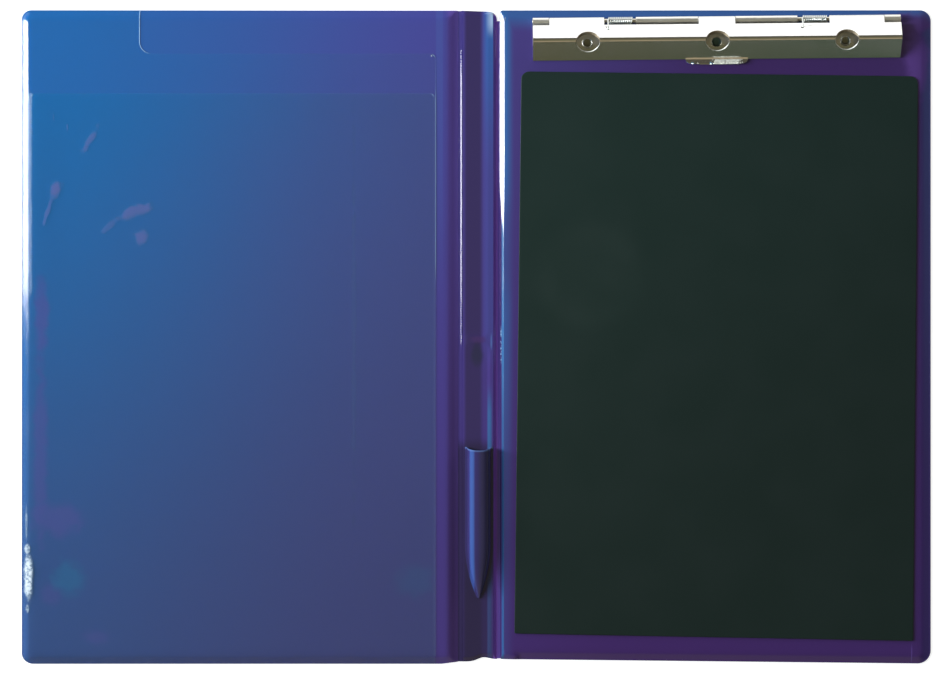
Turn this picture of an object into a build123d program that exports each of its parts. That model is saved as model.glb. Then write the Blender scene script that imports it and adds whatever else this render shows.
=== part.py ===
from build123d import *

import math
import os

# Driving dimensions of the open folder, in millimetres.
# +X runs across the open folder, +Y towards the clip, +Z up from the table.
folder_half_width = 239.65
folder_half_height = 172.3
front_hinge_x = -8.8
back_hinge_x = 11.7

# Sheet stock
film_thickness = 0.35
clear_film_thickness = 0.25
board_thickness = 2.0
spine_board_thickness = 1.2

# Pressed weld lines that bend as hinges
weld_half_width = 0.8
weld_thickness = 0.5
weld_lift = 0.1
back_weld_ends = (-169.6, 166.8)
front_weld_ends = (-170.8, 171.6)

# Flat welded rim round each panel, and how far in the film reaches the board's face
rim_outer = 1.0
rim_at_hinge = 0.5
shoulder_side = 5.2
shoulder_at_front_hinge = 6.0
shoulder_at_back_hinge = 2.4
shoulder_top = 3.6
shoulder_bottom = 3.8
smallest_corner = 0.8

# The spine's film is narrower and stands lower
spine_shoulder_left = 1.2
spine_shoulder_right = 1.7
spine_rim_left = 0.4

# Clear pockets on the front cover
tall_pocket_right = -21.2
tall_pocket_top = 149.2
tall_pocket_tab_right = -177.2
tall_pocket_inner_radius = 6.3
tall_pocket_corner_radius = 3.2
short_pocket_right = -22.0
short_pocket_top = 128.3
short_pocket_corner_radius = 2.4
pocket_overrun = 8.0

# Writing mat, an A4 sheet glued on a little askew
mat_width = 210.0
mat_height = 297.0
mat_thickness = 0.8
mat_corner_radius = 4.2
mat_centre = (126.9, -9.9)
mat_turn = -0.7

# Pen pouch welded on the spine
pouch_x = 1.45
pouch_mouth_y = -58.0
pouch_straight = 51.5
pouch_taper = 28.0
pouch_half_width = 6.3
pouch_height = 8.2
pouch_wall = 0.5
pouch_flange = 1.0
pouch_flange_thickness = 0.4
pouch_tip_scale = 0.1
pouch_inner_tip_back = 4.0
pouch_stations = (0.0, 0.3, 0.55, 0.8, 1.0)
pouch_taper_power = 1.8
pouch_least_room = 2.5
pouch_mouth_dip = 1.6
pouch_mouth_overrun = 1.0
pouch_flange_waist = (0.72, 0.55)

# Clip, drawn about its rod: x along the rod, u away from the folder's top edge, z up
clip_centre = (126.4, 166.7)
clip_turn = 0.52
clip_half_length = 96.7
plate_thickness = 0.8
rod_radius = 1.2
rod_clearance = 0.05
rod_overhang = 0.2
rod_chamfer = 0.2
knuckle_mid_radius = rod_radius + rod_clearance + plate_thickness / 2
plate_joggle = 0.3
knuckle_room = 4.0

# Where the rolled knuckles lie along the rod, measured from the clip's middle
jaw_centre_tab_half = 9.6
jaw_side_tab = (59.2, 88.0)
base_inner_knuckle = (9.9, 42.4)
base_outer_knuckle = (88.3, 96.7)
jaw_cut_u = 2.25
base_cut_u = 2.9

# Jaw plate section
jaw_slope_angle = 31.0
jaw_fall_angle = 45.0
jaw_ridge_u = 10.4
jaw_ridge_radius = 1.4
jaw_roll_end_angle = 215.0
jaw_lip_gap = 0.15

# Thumb tab at the middle of the lip
tab_half_root = 16.0
tab_half_tip = 13.4
tab_corner_radius = 2.2
tab_bend_radius = 2.0
tab_rise_angle = 10.0
tab_flat = 1.9
tab_floor_gap = 0.25

# Holes in the jaw that reach the rivets, and the rivets themselves
rivet_x = 67.9
rivet_u = 11.2
access_half_width = 6.25
access_half_depth = 5.25
rivet_shank_radius = 2.2
rivet_bore_radius = 1.7
rivet_roll_radius = 2.9
rivet_roll_height = 0.6
rivet_roll_round = 0.24
rivet_head_radius = 4.5
rivet_head_height = 0.5
rivet_head_recess = 0.05
rivet_hole_clearance = 0.1
centre_hole_radius = 2.2
centre_hole_sink = 0.5

# Base plate section
base_roll_start_angle = 15.0
base_plate_end_u = 18.4
base_ramp = (2.6, 4.2)

# Torsion springs, wound round the rod
spring_wire = 0.65
spring_mid_radius = 1.8
spring_turns = 10
spring_length = 12.0
spring_bend_radius = 0.9
spring_base_angle = 15.0
spring_jaw_lift_angle = 13.0
spring_base_hole_u = 6.0
spring_jaw_hole_t = 6.7
spring_hole_radius = 0.55
spring_left_x = -57.2
spring_right_x = 44.5
spring_base_end_gap = 0.15
spring_jaw_end_depth = 0.6
least_spring_gap = 0.4
gap_steps = 6

# Heights that follow from the stock
inner_rim_top = 2 * film_thickness
inner_face = inner_rim_top + board_thickness
spine_face = inner_rim_top + spine_board_thickness
plate_low = inner_face + plate_thickness / 2
rod_z = inner_face + plate_joggle + knuckle_mid_radius + plate_thickness / 2
clip_place = Location((clip_centre[0], clip_centre[1], rod_z), (0, 0, clip_turn))

# Each panel's outline as corners: x, y, side, end, corner radius.
# Side and end say which of the panel's edges the corner belongs to.
front_corners = [
    (-folder_half_width, folder_half_height, "left", "top", 5.0),
    (front_hinge_x - weld_half_width, 172.1, "right", "top", 1.0),
    (front_hinge_x - weld_half_width, -171.2, "right", "bottom", 1.0),
    (front_hinge_x - 9.5, -folder_half_height, "", "bottom", 12.0),
    (-folder_half_width, -folder_half_height, "left", "bottom", 5.8),
]
spine_corners = [
    (front_hinge_x + weld_half_width, 172.1, "left", "top", 1.0),
    (back_hinge_x - weld_half_width, 171.4, "right", "top", 4.2),
    (back_hinge_x - weld_half_width, -169.8, "right", "bottom", 1.0),
    (2.0, -169.2, "", "bottom", 14.0),
    (front_hinge_x + weld_half_width, -171.1, "left", "bottom", 1.0),
]
back_corners = [
    (back_hinge_x + weld_half_width, 172.2, "left", "top", 1.6),
    (folder_half_width, folder_half_height, "right", "top", 5.8),
    (folder_half_width, -172.2, "right", "bottom", 6.8),
    (back_hinge_x + weld_half_width, -169.8, "left", "bottom", 1.0),
]
inward = {"left": 1, "right": -1, "top": -1, "bottom": 1, "": 0}

no_inset = {"left": 0, "right": 0, "top": 0, "bottom": 0, "": 0}


def edge_insets(left, right, top, bottom):
    """How far each edge of a panel is drawn in."""
    return {"left": left, "right": right, "top": top, "bottom": bottom, "": 0}


front_rim = edge_insets(rim_outer, rim_at_hinge, rim_outer, rim_outer)
front_shoulder = edge_insets(shoulder_side, shoulder_at_front_hinge, shoulder_top,
                             shoulder_bottom)
spine_rim = edge_insets(spine_rim_left, rim_at_hinge, rim_outer, rim_outer)
spine_shoulder = edge_insets(spine_shoulder_left, spine_shoulder_right, shoulder_top,
                             shoulder_bottom)
back_rim = edge_insets(rim_at_hinge, rim_outer, rim_outer, rim_outer)
back_shoulder = edge_insets(shoulder_at_back_hinge, shoulder_side, shoulder_top,
                            shoulder_bottom)


def outline(corners, inset, z):
    """A panel's rounded outline as a face at height z, each edge drawn in by its inset."""
    points = []
    radii = []
    for x, y, side, end, radius in corners:
        points.append((x + inward[side] * inset[side], y + inward[end] * inset[end]))
        drawn_in = (inset[side] + inset[end]) / 2
        radii.append(max(radius - drawn_in, smallest_corner))
    wire = FilletPolyline(*points, radius=radii, close=True)
    return Pos(0, 0, z) * make_face(wire)


def slab(corners, z_low, z_high):
    """Flat sheet over a whole panel."""
    return extrude(outline(corners, no_inset, z_low), z_high - z_low)


def hump(corners, rim, shoulder, z_low, rise):
    """The sloped rise from the welded rim to the board's face."""
    low = outline(corners, rim, z_low)
    high = outline(corners, shoulder, z_low + rise)
    return loft([low, high], ruled=True)


def under_surface(corners, rim, shoulder, rise, lift=0.0):
    """Everything between the outer film and a surface lying lift above the inner film."""
    flat = slab(corners, film_thickness, inner_rim_top + lift)
    return flat + hump(corners, rim, shoulder, inner_rim_top + lift, rise)


def inner_film(corners, rim, shoulder, rise):
    """Film welded at the rim and stretched over the board."""
    skin = under_surface(corners, rim, shoulder, rise)
    return skin - hump(corners, rim, shoulder, film_thickness, rise)


def board(corners, shoulder, thickness):
    """Stiff core that fills the pocket between the two films."""
    return extrude(outline(corners, shoulder, film_thickness), thickness)


def front_surface(lift):
    """Everything under a film lying lift above the front cover's inner film."""
    return under_surface(front_corners, front_rim, front_shoulder, board_thickness, lift)


def pocket_sheet(layer, points, radii):
    """Clear film laid over the front cover, welded where it runs out at the rim."""
    lift = layer * clear_film_thickness
    sheet = front_surface(lift + clear_film_thickness) - front_surface(lift)
    shape = make_face(FilletPolyline(*points, radius=radii, close=True))
    return sheet & extrude(shape, inner_face + board_thickness)


def tall_pocket():
    """Clear film with a tab up to the top edge at its left."""
    left = -folder_half_width - pocket_overrun
    top = folder_half_height + pocket_overrun
    points = [
        (left, top),
        (tall_pocket_tab_right, top),
        (tall_pocket_tab_right, tall_pocket_top),
        (tall_pocket_right, tall_pocket_top),
        (tall_pocket_right, -top),
        (left, -top),
    ]
    radii = [0, 0, tall_pocket_inner_radius, tall_pocket_corner_radius, 0, 0]
    return pocket_sheet(0, points, radii)


def short_pocket():
    """Second clear film, cut lower."""
    left = -folder_half_width - pocket_overrun
    low = -folder_half_height - pocket_overrun
    points = [
        (left, short_pocket_top),
        (short_pocket_right, short_pocket_top),
        (short_pocket_right, low),
        (left, low),
    ]
    return pocket_sheet(1, points, [0, short_pocket_corner_radius, 0, 0])


def weld_strip(hinge_x, ends):
    """Pressed strip of both films between two panels."""
    y_low, y_high = ends
    width = 2 * weld_half_width
    strip = Box(width, y_high - y_low, weld_thickness)
    middle = (y_high + y_low) / 2
    return Pos(hinge_x, middle, weld_lift + weld_thickness / 2) * strip


def writing_mat():
    """Mat with rounded upper corners and square lower ones."""
    half_width = mat_width / 2
    half_height = mat_height / 2
    points = [
        (-half_width, half_height),
        (half_width, half_height),
        (half_width, -half_height),
        (-half_width, -half_height),
    ]
    radii = [mat_corner_radius, mat_corner_radius, 0, 0]
    face = make_face(FilletPolyline(*points, radius=radii, close=True))
    place = Location((mat_centre[0], mat_centre[1], inner_face), (0, 0, mat_turn))
    return place * extrude(face, mat_thickness)


def pouch_section(y, scale, wall):
    """Half-round section of the pouch at a station, drawn in by wall."""
    plane = Plane(origin=(pouch_x, y, spine_face), x_dir=(1, 0, 0), z_dir=(0, -1, 0))
    half_width = pouch_half_width * scale - wall
    height = pouch_height * scale - wall
    arch = EllipticalCenterArc((0, 0), half_width, height, start_angle=0, arc_size=180)
    base = Line((-half_width, 0), (half_width, 0))
    return plane * make_face([arch, base])


def pouch_body(wall, tip_back, mouth_overrun):
    """Half-round body with a pointed lower end."""
    mouth = pouch_mouth_y + mouth_overrun
    shoulder_y = pouch_mouth_y - pouch_straight
    start = pouch_section(mouth, 1.0, wall)
    tube = extrude(start, pouch_straight + mouth_overrun)
    sections = []
    for part in pouch_stations:
        scale = 1.0 - (1.0 - pouch_tip_scale) * part ** pouch_taper_power
        if scale * pouch_half_width > pouch_least_room * wall:
            reach = (pouch_taper - tip_back) * part
            sections.append(pouch_section(shoulder_y - reach, scale, wall))
    return tube + loft(sections)


def pouch_flange_plate():
    """Flat flange that is welded to the spine, pointed like the pouch."""
    half = pouch_half_width + pouch_flange
    low = pouch_mouth_y - pouch_straight
    tip = low - pouch_taper - pouch_flange
    bend_half = pouch_flange_waist[0] * half
    bend_y = low - pouch_flange_waist[1] * pouch_taper
    right = [(half, pouch_mouth_y), (half, low)]
    left = [(-half, low), (-half, pouch_mouth_y)]
    edges = [
        Line(*right),
        ThreePointArc((half, low), (bend_half, bend_y), (0, tip)),
        ThreePointArc((0, tip), (-bend_half, bend_y), (-half, low)),
        Line(*left),
        Line((-half, pouch_mouth_y), (half, pouch_mouth_y)),
    ]
    plate = extrude(make_face(edges), pouch_flange_thickness)
    return Pos(pouch_x, 0, spine_face) * plate


def pouch_mouth_cut():
    """Round cut that dips the pouch's mouth at its middle."""
    radius = pouch_half_width ** 2 / (2 * pouch_mouth_dip)
    middle_y = pouch_mouth_y - pouch_mouth_dip + radius
    floor_z = spine_face + pouch_flange_thickness
    round_cut = Cylinder(radius, 2 * pouch_height)
    return Pos(pouch_x, middle_y, floor_z + pouch_height) * round_cut


def pen_pouch():
    """Thin half-round pouch, open at its upper end."""
    shell = pouch_flange_plate() + pouch_body(0.0, 0.0, 0.0)
    shell -= pouch_body(pouch_wall, pouch_inner_tip_back, pouch_mouth_overrun)
    return shell - pouch_mouth_cut()


def section_plane(x):
    """Plane across the clip at x, with u away from the top edge and z up."""
    return Plane(origin=(x, 0, 0), x_dir=(0, -1, 0), z_dir=(-1, 0, 0))


def turned(angle, along, out):
    """Point in the clip's section: along a direction at angle, and out to its left."""
    a = math.radians(angle)
    u = along * math.cos(a) - out * math.sin(a)
    z = along * math.sin(a) + out * math.cos(a)
    return (u, z)


def strip_along(pieces, x_low, x_high):
    """Sheet metal of the plate's thickness along a section line, from x_low to x_high."""
    face = trace(pieces, plate_thickness)
    placed = section_plane((x_low + x_high) / 2) * face
    return extrude(placed, (x_high - x_low) / 2, both=True)


def clip_box(x_low, x_high, u_low, u_high, z_low, z_high):
    """Box in the clip's frame."""
    size = Box(x_high - x_low, u_high - u_low, z_high - z_low)
    return Pos((x_low + x_high) / 2, -(u_low + u_high) / 2, (z_low + z_high) / 2) * size


def clip_cylinder(x, u, radius, z_low, z_high):
    """Upright cylinder in the clip's frame."""
    return Pos(x, -u, (z_low + z_high) / 2) * Cylinder(radius, z_high - z_low)


def roll_arc(start_angle, end_angle):
    """Rolled knuckle about the rod, through the middle of the sheet."""
    return CenterArc((0, 0), knuckle_mid_radius, start_angle, end_angle - start_angle)


def mirrored(span):
    """A span along the rod and its mirror image."""
    return [span, (-span[1], -span[0])]


jaw_leave = turned(jaw_slope_angle, 0, knuckle_mid_radius)
ridge_run = (jaw_ridge_u - jaw_leave[0]) / math.cos(math.radians(jaw_slope_angle))
jaw_ridge = turned(jaw_slope_angle, ridge_run, knuckle_mid_radius)
fall_tan = math.tan(math.radians(jaw_fall_angle))
half_sheet_drop = plate_thickness / 2 * math.cos(math.radians(jaw_fall_angle))
lip_z = inner_face + jaw_lip_gap + half_sheet_drop - rod_z
jaw_lip = (jaw_ridge[0] + (jaw_ridge[1] - lip_z) / fall_tan, lip_z)


def jaw_line():
    """Section of the jaw from its rolled edge over the ridge to the lip."""
    slope = FilletPolyline(jaw_leave, jaw_ridge, jaw_lip, radius=jaw_ridge_radius)
    return [roll_arc(jaw_roll_end_angle, 90 + jaw_slope_angle), slope]


def thumb_tab():
    """Flared tab that carries on from the lip and turns up to the thumb."""
    low_z = inner_face + tab_floor_gap + plate_thickness / 2 - rod_z
    corner_z = low_z - tab_bend_radius * (1 / math.cos(math.radians(tab_rise_angle)) - 1)
    corner_u = jaw_ridge[0] + (jaw_ridge[1] - corner_z) / fall_tan
    end = turned(tab_rise_angle, tab_flat + tab_bend_radius, 0)
    start = (corner_u - tab_bend_radius, corner_z + tab_bend_radius * fall_tan)
    line = FilletPolyline(start, (corner_u, corner_z),
                          (corner_u + end[0], corner_z + end[1]), radius=tab_bend_radius)
    strip = strip_along([line], -tab_half_root, tab_half_root)
    reach = corner_u + end[0]
    back = jaw_lip[0] - plate_thickness
    points = [(-tab_half_root, -back), (tab_half_root, -back), (tab_half_tip, -reach),
              (-tab_half_tip, -reach)]
    radii = [0, 0, tab_corner_radius, tab_corner_radius]
    shape = make_face(FilletPolyline(*points, radius=radii, close=True))
    behind = clip_box(-tab_half_root, tab_half_root, 0, back, -rod_z, rod_z)
    return strip & (Pos(0, 0, -rod_z) * extrude(shape, 2 * rod_z) + behind)


def jaw_plate():
    """Bent jaw with three rolled tabs, access holes over the rivets and a thumb tab."""
    plate = strip_along(jaw_line(), -clip_half_length, clip_half_length)
    gaps = mirrored((jaw_centre_tab_half, jaw_side_tab[0]))
    gaps += mirrored((jaw_side_tab[1], clip_half_length + 1))
    for low, high in gaps:
        plate -= clip_box(low, high, -knuckle_room, jaw_cut_u, -knuckle_room, knuckle_room)
    for x in (-rivet_x, 0, rivet_x):
        hole = extrude(Ellipse(access_half_width, access_half_depth), 2 * rod_z)
        plate -= Pos(x, -rivet_u, 0) * hole
    for x in (spring_left_x, spring_right_x):
        plate -= jaw_spring_hole(x)
    return plate + thumb_tab()


def jaw_spring_hole(x):
    """Small hole square through the jaw's slope for a spring's hooked end."""
    u, z = turned(jaw_slope_angle, spring_jaw_hole_t, knuckle_mid_radius)
    out = turned(jaw_slope_angle, 0, 1)
    plane = Plane(origin=(x, -u, z), z_dir=(0, -out[0], out[1]))
    return extrude(plane * Circle(spring_hole_radius), 2 * plate_thickness, both=True)


def base_line(rolled):
    """Section of the base plate, with or without its rolled knuckle."""
    low = plate_low - rod_z
    raised = (base_ramp[0], -knuckle_mid_radius)
    plate = [raised, (base_ramp[1], low), (base_plate_end_u, low)]
    if rolled:
        bottom = (0, -knuckle_mid_radius)
        return [roll_arc(base_roll_start_angle, 270), Polyline(bottom, *plate)]
    return [Polyline(*plate)]


def base_plate():
    """Flat base with rolled knuckles between the jaw's tabs and the springs."""
    plate = strip_along(base_line(False), -clip_half_length, clip_half_length)
    plate -= clip_box(-clip_half_length, clip_half_length, 0, base_cut_u, -knuckle_room, 0)
    for low, high in mirrored((base_inner_knuckle[1], jaw_side_tab[0])):
        plate -= clip_box(low, high, 0, base_ramp[1], -knuckle_room, 0)
    for low, high in mirrored(base_inner_knuckle) + mirrored(base_outer_knuckle):
        plate += strip_along(base_line(True), low, high)
    for x in (-rivet_x, rivet_x):
        rivet_hole_radius = rivet_shank_radius + rivet_hole_clearance
        plate -= clip_cylinder(x, rivet_u, rivet_hole_radius, -knuckle_room, 0)
    plate -= clip_cylinder(0, rivet_u, centre_hole_radius, -knuckle_room, 0)
    plate_top = inner_face + plate_thickness - rod_z
    sink = Cone(centre_hole_radius, centre_hole_radius + centre_hole_sink, centre_hole_sink)
    plate -= Pos(0, -rivet_u, plate_top - centre_hole_sink / 2) * sink
    for x in (spring_left_x, spring_right_x):
        hole_x = x + spring_length
        plate -= clip_cylinder(hole_x, spring_base_hole_u, spring_hole_radius, -knuckle_room, 0)
    return plate


def rivets():
    """Two tubular rivets: head at the back, rolled over on the base plate."""
    head_low = rivet_head_recess - rod_z
    head_high = head_low + rivet_head_height
    plate_top = inner_face + plate_thickness - rod_z
    roll_top = plate_top + rivet_roll_height
    pair = []
    for x in (-rivet_x, rivet_x):
        rivet = clip_cylinder(x, rivet_u, rivet_head_radius, head_low, head_high)
        rivet += clip_cylinder(x, rivet_u, rivet_shank_radius, head_low, roll_top)
        rivet += clip_cylinder(x, rivet_u, rivet_roll_radius, plate_top, roll_top)
        rivet -= clip_cylinder(x, rivet_u, rivet_bore_radius, head_high, roll_top + 1)
        roll_edges = rivet.edges().group_by(Axis.Z)[-1]
        rivet = fillet(roll_edges, rivet_roll_round)
        pair.append(rivet)
    return Compound(children=pair)


def rivet_space():
    """Room for the rivets' heads and shanks in the back cover."""
    shank = rivet_shank_radius + rivet_hole_clearance
    head = rivet_head_radius + rivet_hole_clearance
    head_high = rivet_head_recess + rivet_head_height - rod_z
    space = []
    for x in (-rivet_x, rivet_x):
        space.append(clip_cylinder(x, rivet_u, shank, -rod_z - 1, 0))
        space.append(clip_cylinder(x, rivet_u, head, -rod_z - 1, head_high))
    return [clip_place * piece for piece in space]


def hinge_rod():
    """Straight rod through all the knuckles."""
    rod = Cylinder(rod_radius, 2 * (clip_half_length + rod_overhang))
    rod = chamfer(rod.edges(), rod_chamfer)
    return Rot(0, 90, 0) * rod


spring_base_roll = 270.0 + spring_base_angle
spring_jaw_roll = 90.0 + jaw_slope_angle + spring_jaw_lift_angle
spring_sweep = spring_base_roll - spring_jaw_roll + 360.0 * spring_turns


def spring_station(part, x_jaw):
    """Point and direction on the winding, from the base leg at 0 to the jaw leg at 1."""
    roll = math.radians(spring_base_roll - spring_sweep * part)
    speed = -math.radians(spring_sweep)
    x = x_jaw + spring_length * (1 - part)
    point = Vector(x, -spring_mid_radius * math.cos(roll), spring_mid_radius * math.sin(roll))
    axial = 0 if part in (0.0, 1.0) else -spring_length
    across = spring_mid_radius * math.sin(roll) * speed
    rise = spring_mid_radius * math.cos(roll) * speed
    return point, Vector(axial, across, rise).normalized()


def biarc(start, start_way, end, end_way):
    """Two arcs that join smoothly between two points with given directions."""
    gap = end - start
    ways = start_way + end_way
    spread = 2 * (1 - start_way.dot(end_way))
    along = gap.dot(ways)
    reach = (math.sqrt(along * along + spread * gap.dot(gap)) - along) / spread
    middle = (start + start_way * reach + end - end_way * reach) * 0.5
    first = TangentArc(start, middle, tangent=start_way)
    second = TangentArc(middle, end, tangent=first % 1)
    return [first, second]


def spring_path(x_jaw):
    """Base hook, winding in quarter turns and jaw hook as one line."""
    base = turned(spring_base_angle, 0, -spring_mid_radius)
    run = (spring_base_hole_u - base[0]) / math.cos(math.radians(spring_base_angle))
    base_corner = turned(spring_base_angle, run, -spring_mid_radius)
    base_end = (base_corner[0], inner_face + spring_base_end_gap - rod_z)
    x_base = x_jaw + spring_length
    base_points = [(x_base, -u, z) for u, z in (base_end, base_corner, base)]

    leg_angle = jaw_slope_angle + spring_jaw_lift_angle
    lift = math.radians(spring_jaw_lift_angle)
    start = turned(leg_angle, 0, spring_mid_radius)
    run = (spring_jaw_hole_t + spring_mid_radius * math.sin(lift)) / math.cos(lift)
    corner = turned(leg_angle, run, spring_mid_radius)
    end_out = knuckle_mid_radius + plate_thickness / 2 - spring_jaw_end_depth
    end = turned(jaw_slope_angle, spring_jaw_hole_t, end_out)
    jaw_points = [(x_jaw, -u, z) for u, z in (start, corner, end)]

    edges = list(FilletPolyline(*base_points, radius=spring_bend_radius).edges())
    quarters = round(spring_sweep / 90.0)
    stations = [spring_station(i / quarters, x_jaw) for i in range(quarters + 1)]
    for (a, a_way), (b, b_way) in zip(stations, stations[1:]):
        edges += biarc(a, a_way, b, b_way)
    edges += list(FilletPolyline(*jaw_points, radius=spring_bend_radius).edges())
    return Wire(edges)


def least_gap(path):
    """Smallest space between any two stretches of the wire's surface, on points."""
    points = []
    travelled = 0.0
    for edge in path.order_edges():
        for step in range(gap_steps):
            part = step / gap_steps
            points.append((travelled + edge.length * part, edge @ part))
        travelled += edge.length
    nearest = travelled
    for i, (s_a, a) in enumerate(points):
        for s_b, b in points[i + 1:]:
            if s_b - s_a > spring_mid_radius * math.pi:
                nearest = min(nearest, (a - b).length)
    return nearest - spring_wire


def torsion_spring(x_jaw):
    """One unbroken wire round the rod with both ends hooked in."""
    path = spring_path(x_jaw)
    gap = least_gap(path)
    print(f"spring at {x_jaw}: least gap to itself {gap:.3f} mm, wire {path.length:.1f} mm long")
    assert gap > least_spring_gap
    section = Plane(origin=path @ 0, z_dir=path % 0) * Circle(spring_wire / 2)
    return sweep(section, path=path)


def back_piece(shape):
    """A layer of the back cover with the rivets' holes in it."""
    for space in rivet_space():
        shape -= space
    return shape


def build():
    """All sub-parts by name, in the folder's frame."""
    front_film = inner_film(front_corners, front_rim, front_shoulder, board_thickness)
    spine_film = inner_film(spine_corners, spine_rim, spine_shoulder, spine_board_thickness)
    back_film = inner_film(back_corners, back_rim, back_shoulder, board_thickness)
    return {
        "back_outer_film": back_piece(slab(back_corners, 0, film_thickness)),
        "back_board": back_piece(board(back_corners, back_shoulder, board_thickness)),
        "back_inner_film": back_piece(back_film),
        "writing_mat": writing_mat(),
        "clip_base_plate": clip_place * base_plate(),
        "clip_rivets": clip_place * rivets(),
        "hinge_rod": clip_place * hinge_rod(),
        "torsion_spring_left": clip_place * torsion_spring(spring_left_x),
        "torsion_spring_right": clip_place * torsion_spring(spring_right_x),
        "jaw_plate": clip_place * jaw_plate(),
        "spine_outer_film": slab(spine_corners, 0, film_thickness),
        "spine_board": board(spine_corners, spine_shoulder, spine_board_thickness),
        "spine_inner_film": spine_film,
        "pen_pouch": pen_pouch(),
        "front_outer_film": slab(front_corners, 0, film_thickness),
        "front_board": board(front_corners, front_shoulder, board_thickness),
        "front_inner_film": front_film,
        "tall_pocket_film": tall_pocket(),
        "short_pocket_film": short_pocket(),
        "back_hinge_weld": weld_strip(back_hinge_x, back_weld_ends),
        "front_hinge_weld": weld_strip(front_hinge_x, front_weld_ends),
    }


os.makedirs("parts", exist_ok=True)
for name, shape in build().items():
    export_step(shape, f"parts/{name}.step")
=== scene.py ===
import math

import bmesh
import bpy
from mathutils import Matrix, Vector, noise
from mathutils.bvhtree import BVHTree


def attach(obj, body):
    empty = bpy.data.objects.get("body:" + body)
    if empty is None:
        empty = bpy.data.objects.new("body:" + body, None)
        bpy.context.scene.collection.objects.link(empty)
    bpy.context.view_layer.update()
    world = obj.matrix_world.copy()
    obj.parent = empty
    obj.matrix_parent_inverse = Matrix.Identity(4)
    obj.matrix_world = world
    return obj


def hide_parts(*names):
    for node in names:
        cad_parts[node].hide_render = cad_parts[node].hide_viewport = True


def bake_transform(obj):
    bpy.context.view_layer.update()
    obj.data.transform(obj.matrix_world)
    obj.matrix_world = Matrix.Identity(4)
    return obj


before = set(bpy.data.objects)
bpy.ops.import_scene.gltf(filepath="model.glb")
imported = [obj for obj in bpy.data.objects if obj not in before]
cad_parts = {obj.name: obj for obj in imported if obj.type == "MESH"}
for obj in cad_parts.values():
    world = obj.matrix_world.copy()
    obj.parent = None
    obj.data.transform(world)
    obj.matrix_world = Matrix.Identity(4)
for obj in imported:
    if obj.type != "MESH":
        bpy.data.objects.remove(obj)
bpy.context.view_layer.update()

mm = 0.001

# Folder sizes in millimetres, as the solids have them
cover_half_width = 239.65
cover_half_height = 172.3
front_hinge_x = -8.8
back_hinge_x = 11.7
weld_half_width = 0.8
rim_z = 0.9
face_z = 2.7
spine_z = 1.9
spine_face_z = 2.0

# The photograph: its frame, its scale on the folder and the camera over it
photo_width = 945
folder_middle_px = 476.25
mm_per_px = 0.527
camera_height = 1800.0
sensor_width = 36.0

scene = bpy.context.scene


def at(*point):
    """A point given in millimetres."""
    return Vector(point) * mm


def smooth_step(low, high, value):
    """Rises smoothly from 0 at low to 1 at high."""
    t = min(max((value - low) / (high - low), 0.0), 1.0)
    return t * t * (3 - 2 * t)


def bump_shape(value, middle, half_width):
    """A smooth hill of height 1 round middle."""
    return 1.0 - smooth_step(0.0, half_width, abs(value - middle))


def wave(x, y, size, seed=0.0):
    """Soft unevenness between about -1 and 1, with hills of the given size."""
    return noise.noise(Vector((x / size, y / size, seed)))


def circle(count):
    """Cosine and sine at even steps round a circle."""
    turns = [math.tau * step / count for step in range(count)]
    return [(math.cos(a), math.sin(a)) for a in turns]


# Making pieces

def finished(name, shape, material, sharp):
    """The shape as an object, shaded smooth except at edges sharper than sharp degrees."""
    mesh = bpy.data.meshes.new(name)
    shape.to_mesh(mesh)
    shape.free()
    mesh.shade_smooth()
    mesh.set_sharp_from_angle(angle=math.radians(sharp))
    mesh.materials.clear()
    mesh.materials.append(material)
    piece = bpy.data.objects.new(name, mesh)
    scene.collection.objects.link(piece)
    return piece


def raw_shape(points, faces, masks=None):
    """A shape from points in millimetres. masks gives named values at the points."""
    rough = bpy.data.meshes.new("rough")
    rough.from_pydata([at(*p) for p in points], [], faces)
    for mask, values in (masks or {}).items():
        rough.attributes.new(mask, "FLOAT", "POINT").data.foreach_set("value", values)
    shape = bmesh.new()
    shape.from_mesh(rough)
    bpy.data.meshes.remove(rough)
    return shape


def new_piece(name, points, faces, material, sharp, masks=None):
    """A clean closed piece from points in millimetres."""
    shape = raw_shape(points, faces, masks)
    bmesh.ops.remove_doubles(shape, verts=shape.verts, dist=1e-7)
    bmesh.ops.dissolve_degenerate(shape, edges=shape.edges, dist=1e-7)
    bmesh.ops.recalc_face_normals(shape, faces=shape.faces)
    return finished(name, shape, material, sharp)


def numbered(rows):
    """All rows' points in one list, and each row as point numbers."""
    points = []
    numbers = []
    for row in rows:
        numbers.append(list(range(len(points), len(points) + len(row))))
        points += row
    return points, numbers


def ring_faces(first, second, closed=True):
    """Quads between two rows of point numbers of equal length."""
    count = len(first)
    last = count if closed else count - 1
    return [(first[i], first[(i + 1) % count], second[(i + 1) % count], second[i])
            for i in range(last)]


def faces_between(numbers, closed=True):
    """Quads between each row of point numbers and the next."""
    faces = []
    for first, second in zip(numbers, numbers[1:]):
        shared = min(len(first), len(second))
        faces += ring_faces(first[:shared], second[:shared], closed)
    return faces


def lofted(name, rows, material, sharp, looped=False):
    """A piece over closed rows of points, with its ends filled, or joined where looped."""
    points, numbers = numbered(rows)
    if looped:
        faces = faces_between(numbers + numbers[:1])
    else:
        faces = faces_between(numbers) + [tuple(numbers[0]), tuple(numbers[-1])]
    return new_piece(name, points, faces, material, sharp)


def film_strip(name, columns, floor, material):
    """A closed strip of film: its face from columns of points, its underside at floor."""
    points, grid = numbered(columns)
    edge = grid[0] + [line[-1] for line in grid[1:-1]] + grid[-1][::-1]
    edge += [line[0] for line in reversed(grid[1:-1])]
    under = list(range(len(points), len(points) + len(edge)))
    points += [(points[i][0], points[i][1], floor) for i in edge]
    faces = faces_between(grid, closed=False) + ring_faces(edge, under) + [tuple(under)]
    return new_piece(name, points, faces, material, 60)


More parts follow.
